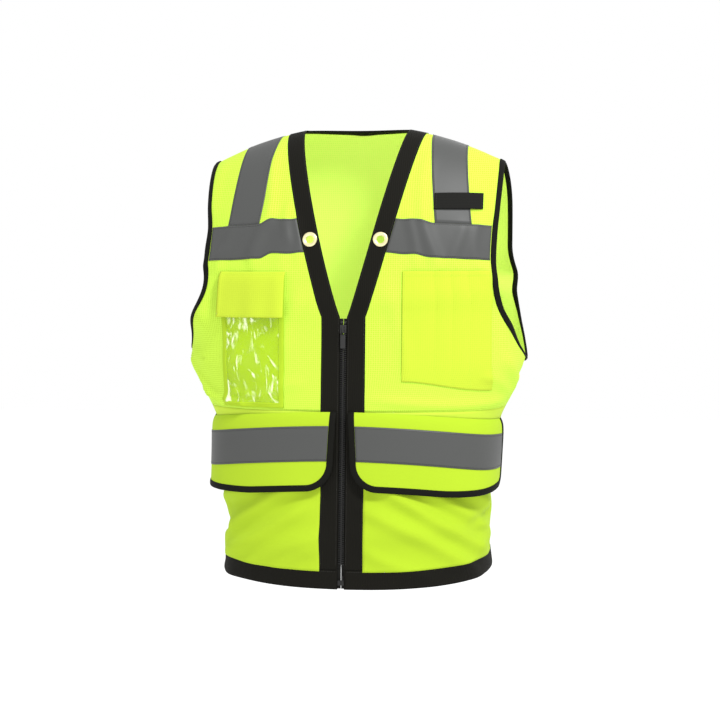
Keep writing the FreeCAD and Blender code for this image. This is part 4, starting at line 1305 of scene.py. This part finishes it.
def make_zip_half(side):
    """One side's teeth, tape and top stop."""
    name, half = side_name(side), TOOTH_THICK / 2
    length = chain_axes()[3]
    teeth = []
    start = TEETH_TOP + (0.0 if side > 0 else TOOTH_PITCH / 2)
    count = int((length - TEETH_CLEAR - start) / TOOTH_PITCH)
    for k in range(-TEETH_ABOVE, count):
        t = start + TOOTH_PITCH * k
        inner = -1.0 if k >= 0 else 0.9
        teeth.append((side * inner, side * TOOTH_REACH, t, t + TOOTH_LENGTH, -half, half))
        teeth.append((side * inner, side * (inner + 1.2), t - 0.2, t + TOOTH_LENGTH + 0.2,
                      -half * 0.8, half * 0.8))
    teeth = [(min(a, b), max(a, b), *rest) for a, b, *rest in teeth]
    row = blocks("zip_teeth_" + name, teeth, MATERIALS["zip_plastic"], 0.18, 1)
    held(row, "front_" + name, "zip_plastic", "zip_teeth_" + name)
    wide, near = (sorted((side * 0.3, side * x)) for x in (ZIP_TAPE_HALF, ZIP_STRIP_HALF))
    band = blocks("zip_tape_" + name, [(*wide, 0.0, length - HEM_BAND + 4.0, -1.9, -1.3),
                                       (*near, length - HEM_BAND, length + 5.0, -2.9, -2.3)],
                  MATERIALS["zip_cloth"], 0.1)
    held(band, "front_" + name, "zip_cloth", "zip_tape_" + name)
    edges = sorted((side * 0.8, side * TOOTH_REACH))
    stop = blocks("zip_top_stop_" + name, [(*edges, 4.0, 7.5, -1.6, 1.6)],
                  MATERIALS["zip_metal"], 0.5)
    held(stop, "front_" + name, "zip_metal", "zip_top_stop_" + name)


def make_zip_foot():
    """The pin on the wearer's left, and the box that it goes into."""
    end = chain_axes()[3]
    top = end - BOX_LENGTH
    pin = blocks("insertion_pin", [(0.8, 3.8, end - 13.5, end - 1.0, -1.0, 1.0)],
                 MATERIALS["zip_plastic"], 0.4)
    held(pin, "front_left", "zip_plastic", "insertion_pin")
    walls = [(-4.2, 4.7, top, end, 1.4, 2.2), (-4.2, 4.7, top, end, -2.2, -1.4),
             (-4.2, 0.4, top, end, -1.5, 1.5), (4.3, 4.7, top, end, -1.5, 1.5),
             (0.3, 4.4, end - 0.6, end, -1.5, 1.5)]
    held(blocks("zip_retainer_box", walls, MATERIALS["zip_plastic"], 0.15), "front_right",
         "zip_plastic", "zip_retainer_box")


def make_slider():
    """Two plates round the teeth with a post between them, a bridge, and the puller."""
    clear = TOOTH_THICK / 2 + 0.35
    far = clear + SLIDER_PLATE
    plate = (-SLIDER_HALF, SLIDER_HALF, SLIDER_TOP, SLIDER_LOW)
    slider = [(*plate, clear, far), (*plate, -far, -clear),
              (-0.35, 0.35, SLIDER_TOP, 14.0, -clear - 0.2, clear + 0.2),
              (-1.5, 1.5, 10.2, 11.8, far - 0.3, far + 3.2),
              (-1.5, 1.5, 18.2, 19.8, far - 0.3, far + 3.2),
              (-1.5, 1.5, 10.2, 19.8, far + 2.5, far + 3.6)]
    held(blocks("zip_slider", slider, MATERIALS["zip_metal"], 0.4, 3), "zip_slider",
         "zip_metal", "zip_slider")
    pivot, low, high = PULLER_PIVOT, far + 0.8, far + 2.2
    pull = [(-2.9, 2.9, pivot - 0.7, pivot + 0.7, low, high),
            (-3.1, -1.9, pivot - 0.7, pivot + 10.0, low, high),
            (1.9, 3.1, pivot - 0.7, pivot + 10.0, low, high),
            (-3.6, 3.6, pivot + 8.6, pivot + 28.0, low, high)]
    held(blocks("zip_puller", pull, MATERIALS["zip_metal"], 0.45, 3), "zip_puller",
         "zip_metal", "zip_puller")


# --- the whole vest ---------------------------------------------------------------------
set_camera()
set_light()
add_floor()
make_back()
for side in (1, -1):
    make_front(side)
    make_flap(side)
    make_grommet(side)
    make_side_seam(side)
    make_shoulder_seam(side)
make_pencil_pocket()
make_mic_tab()
make_id_pocket()
for side in (1, -1):
    make_zip_half(side)
make_zip_foot()
make_slider()
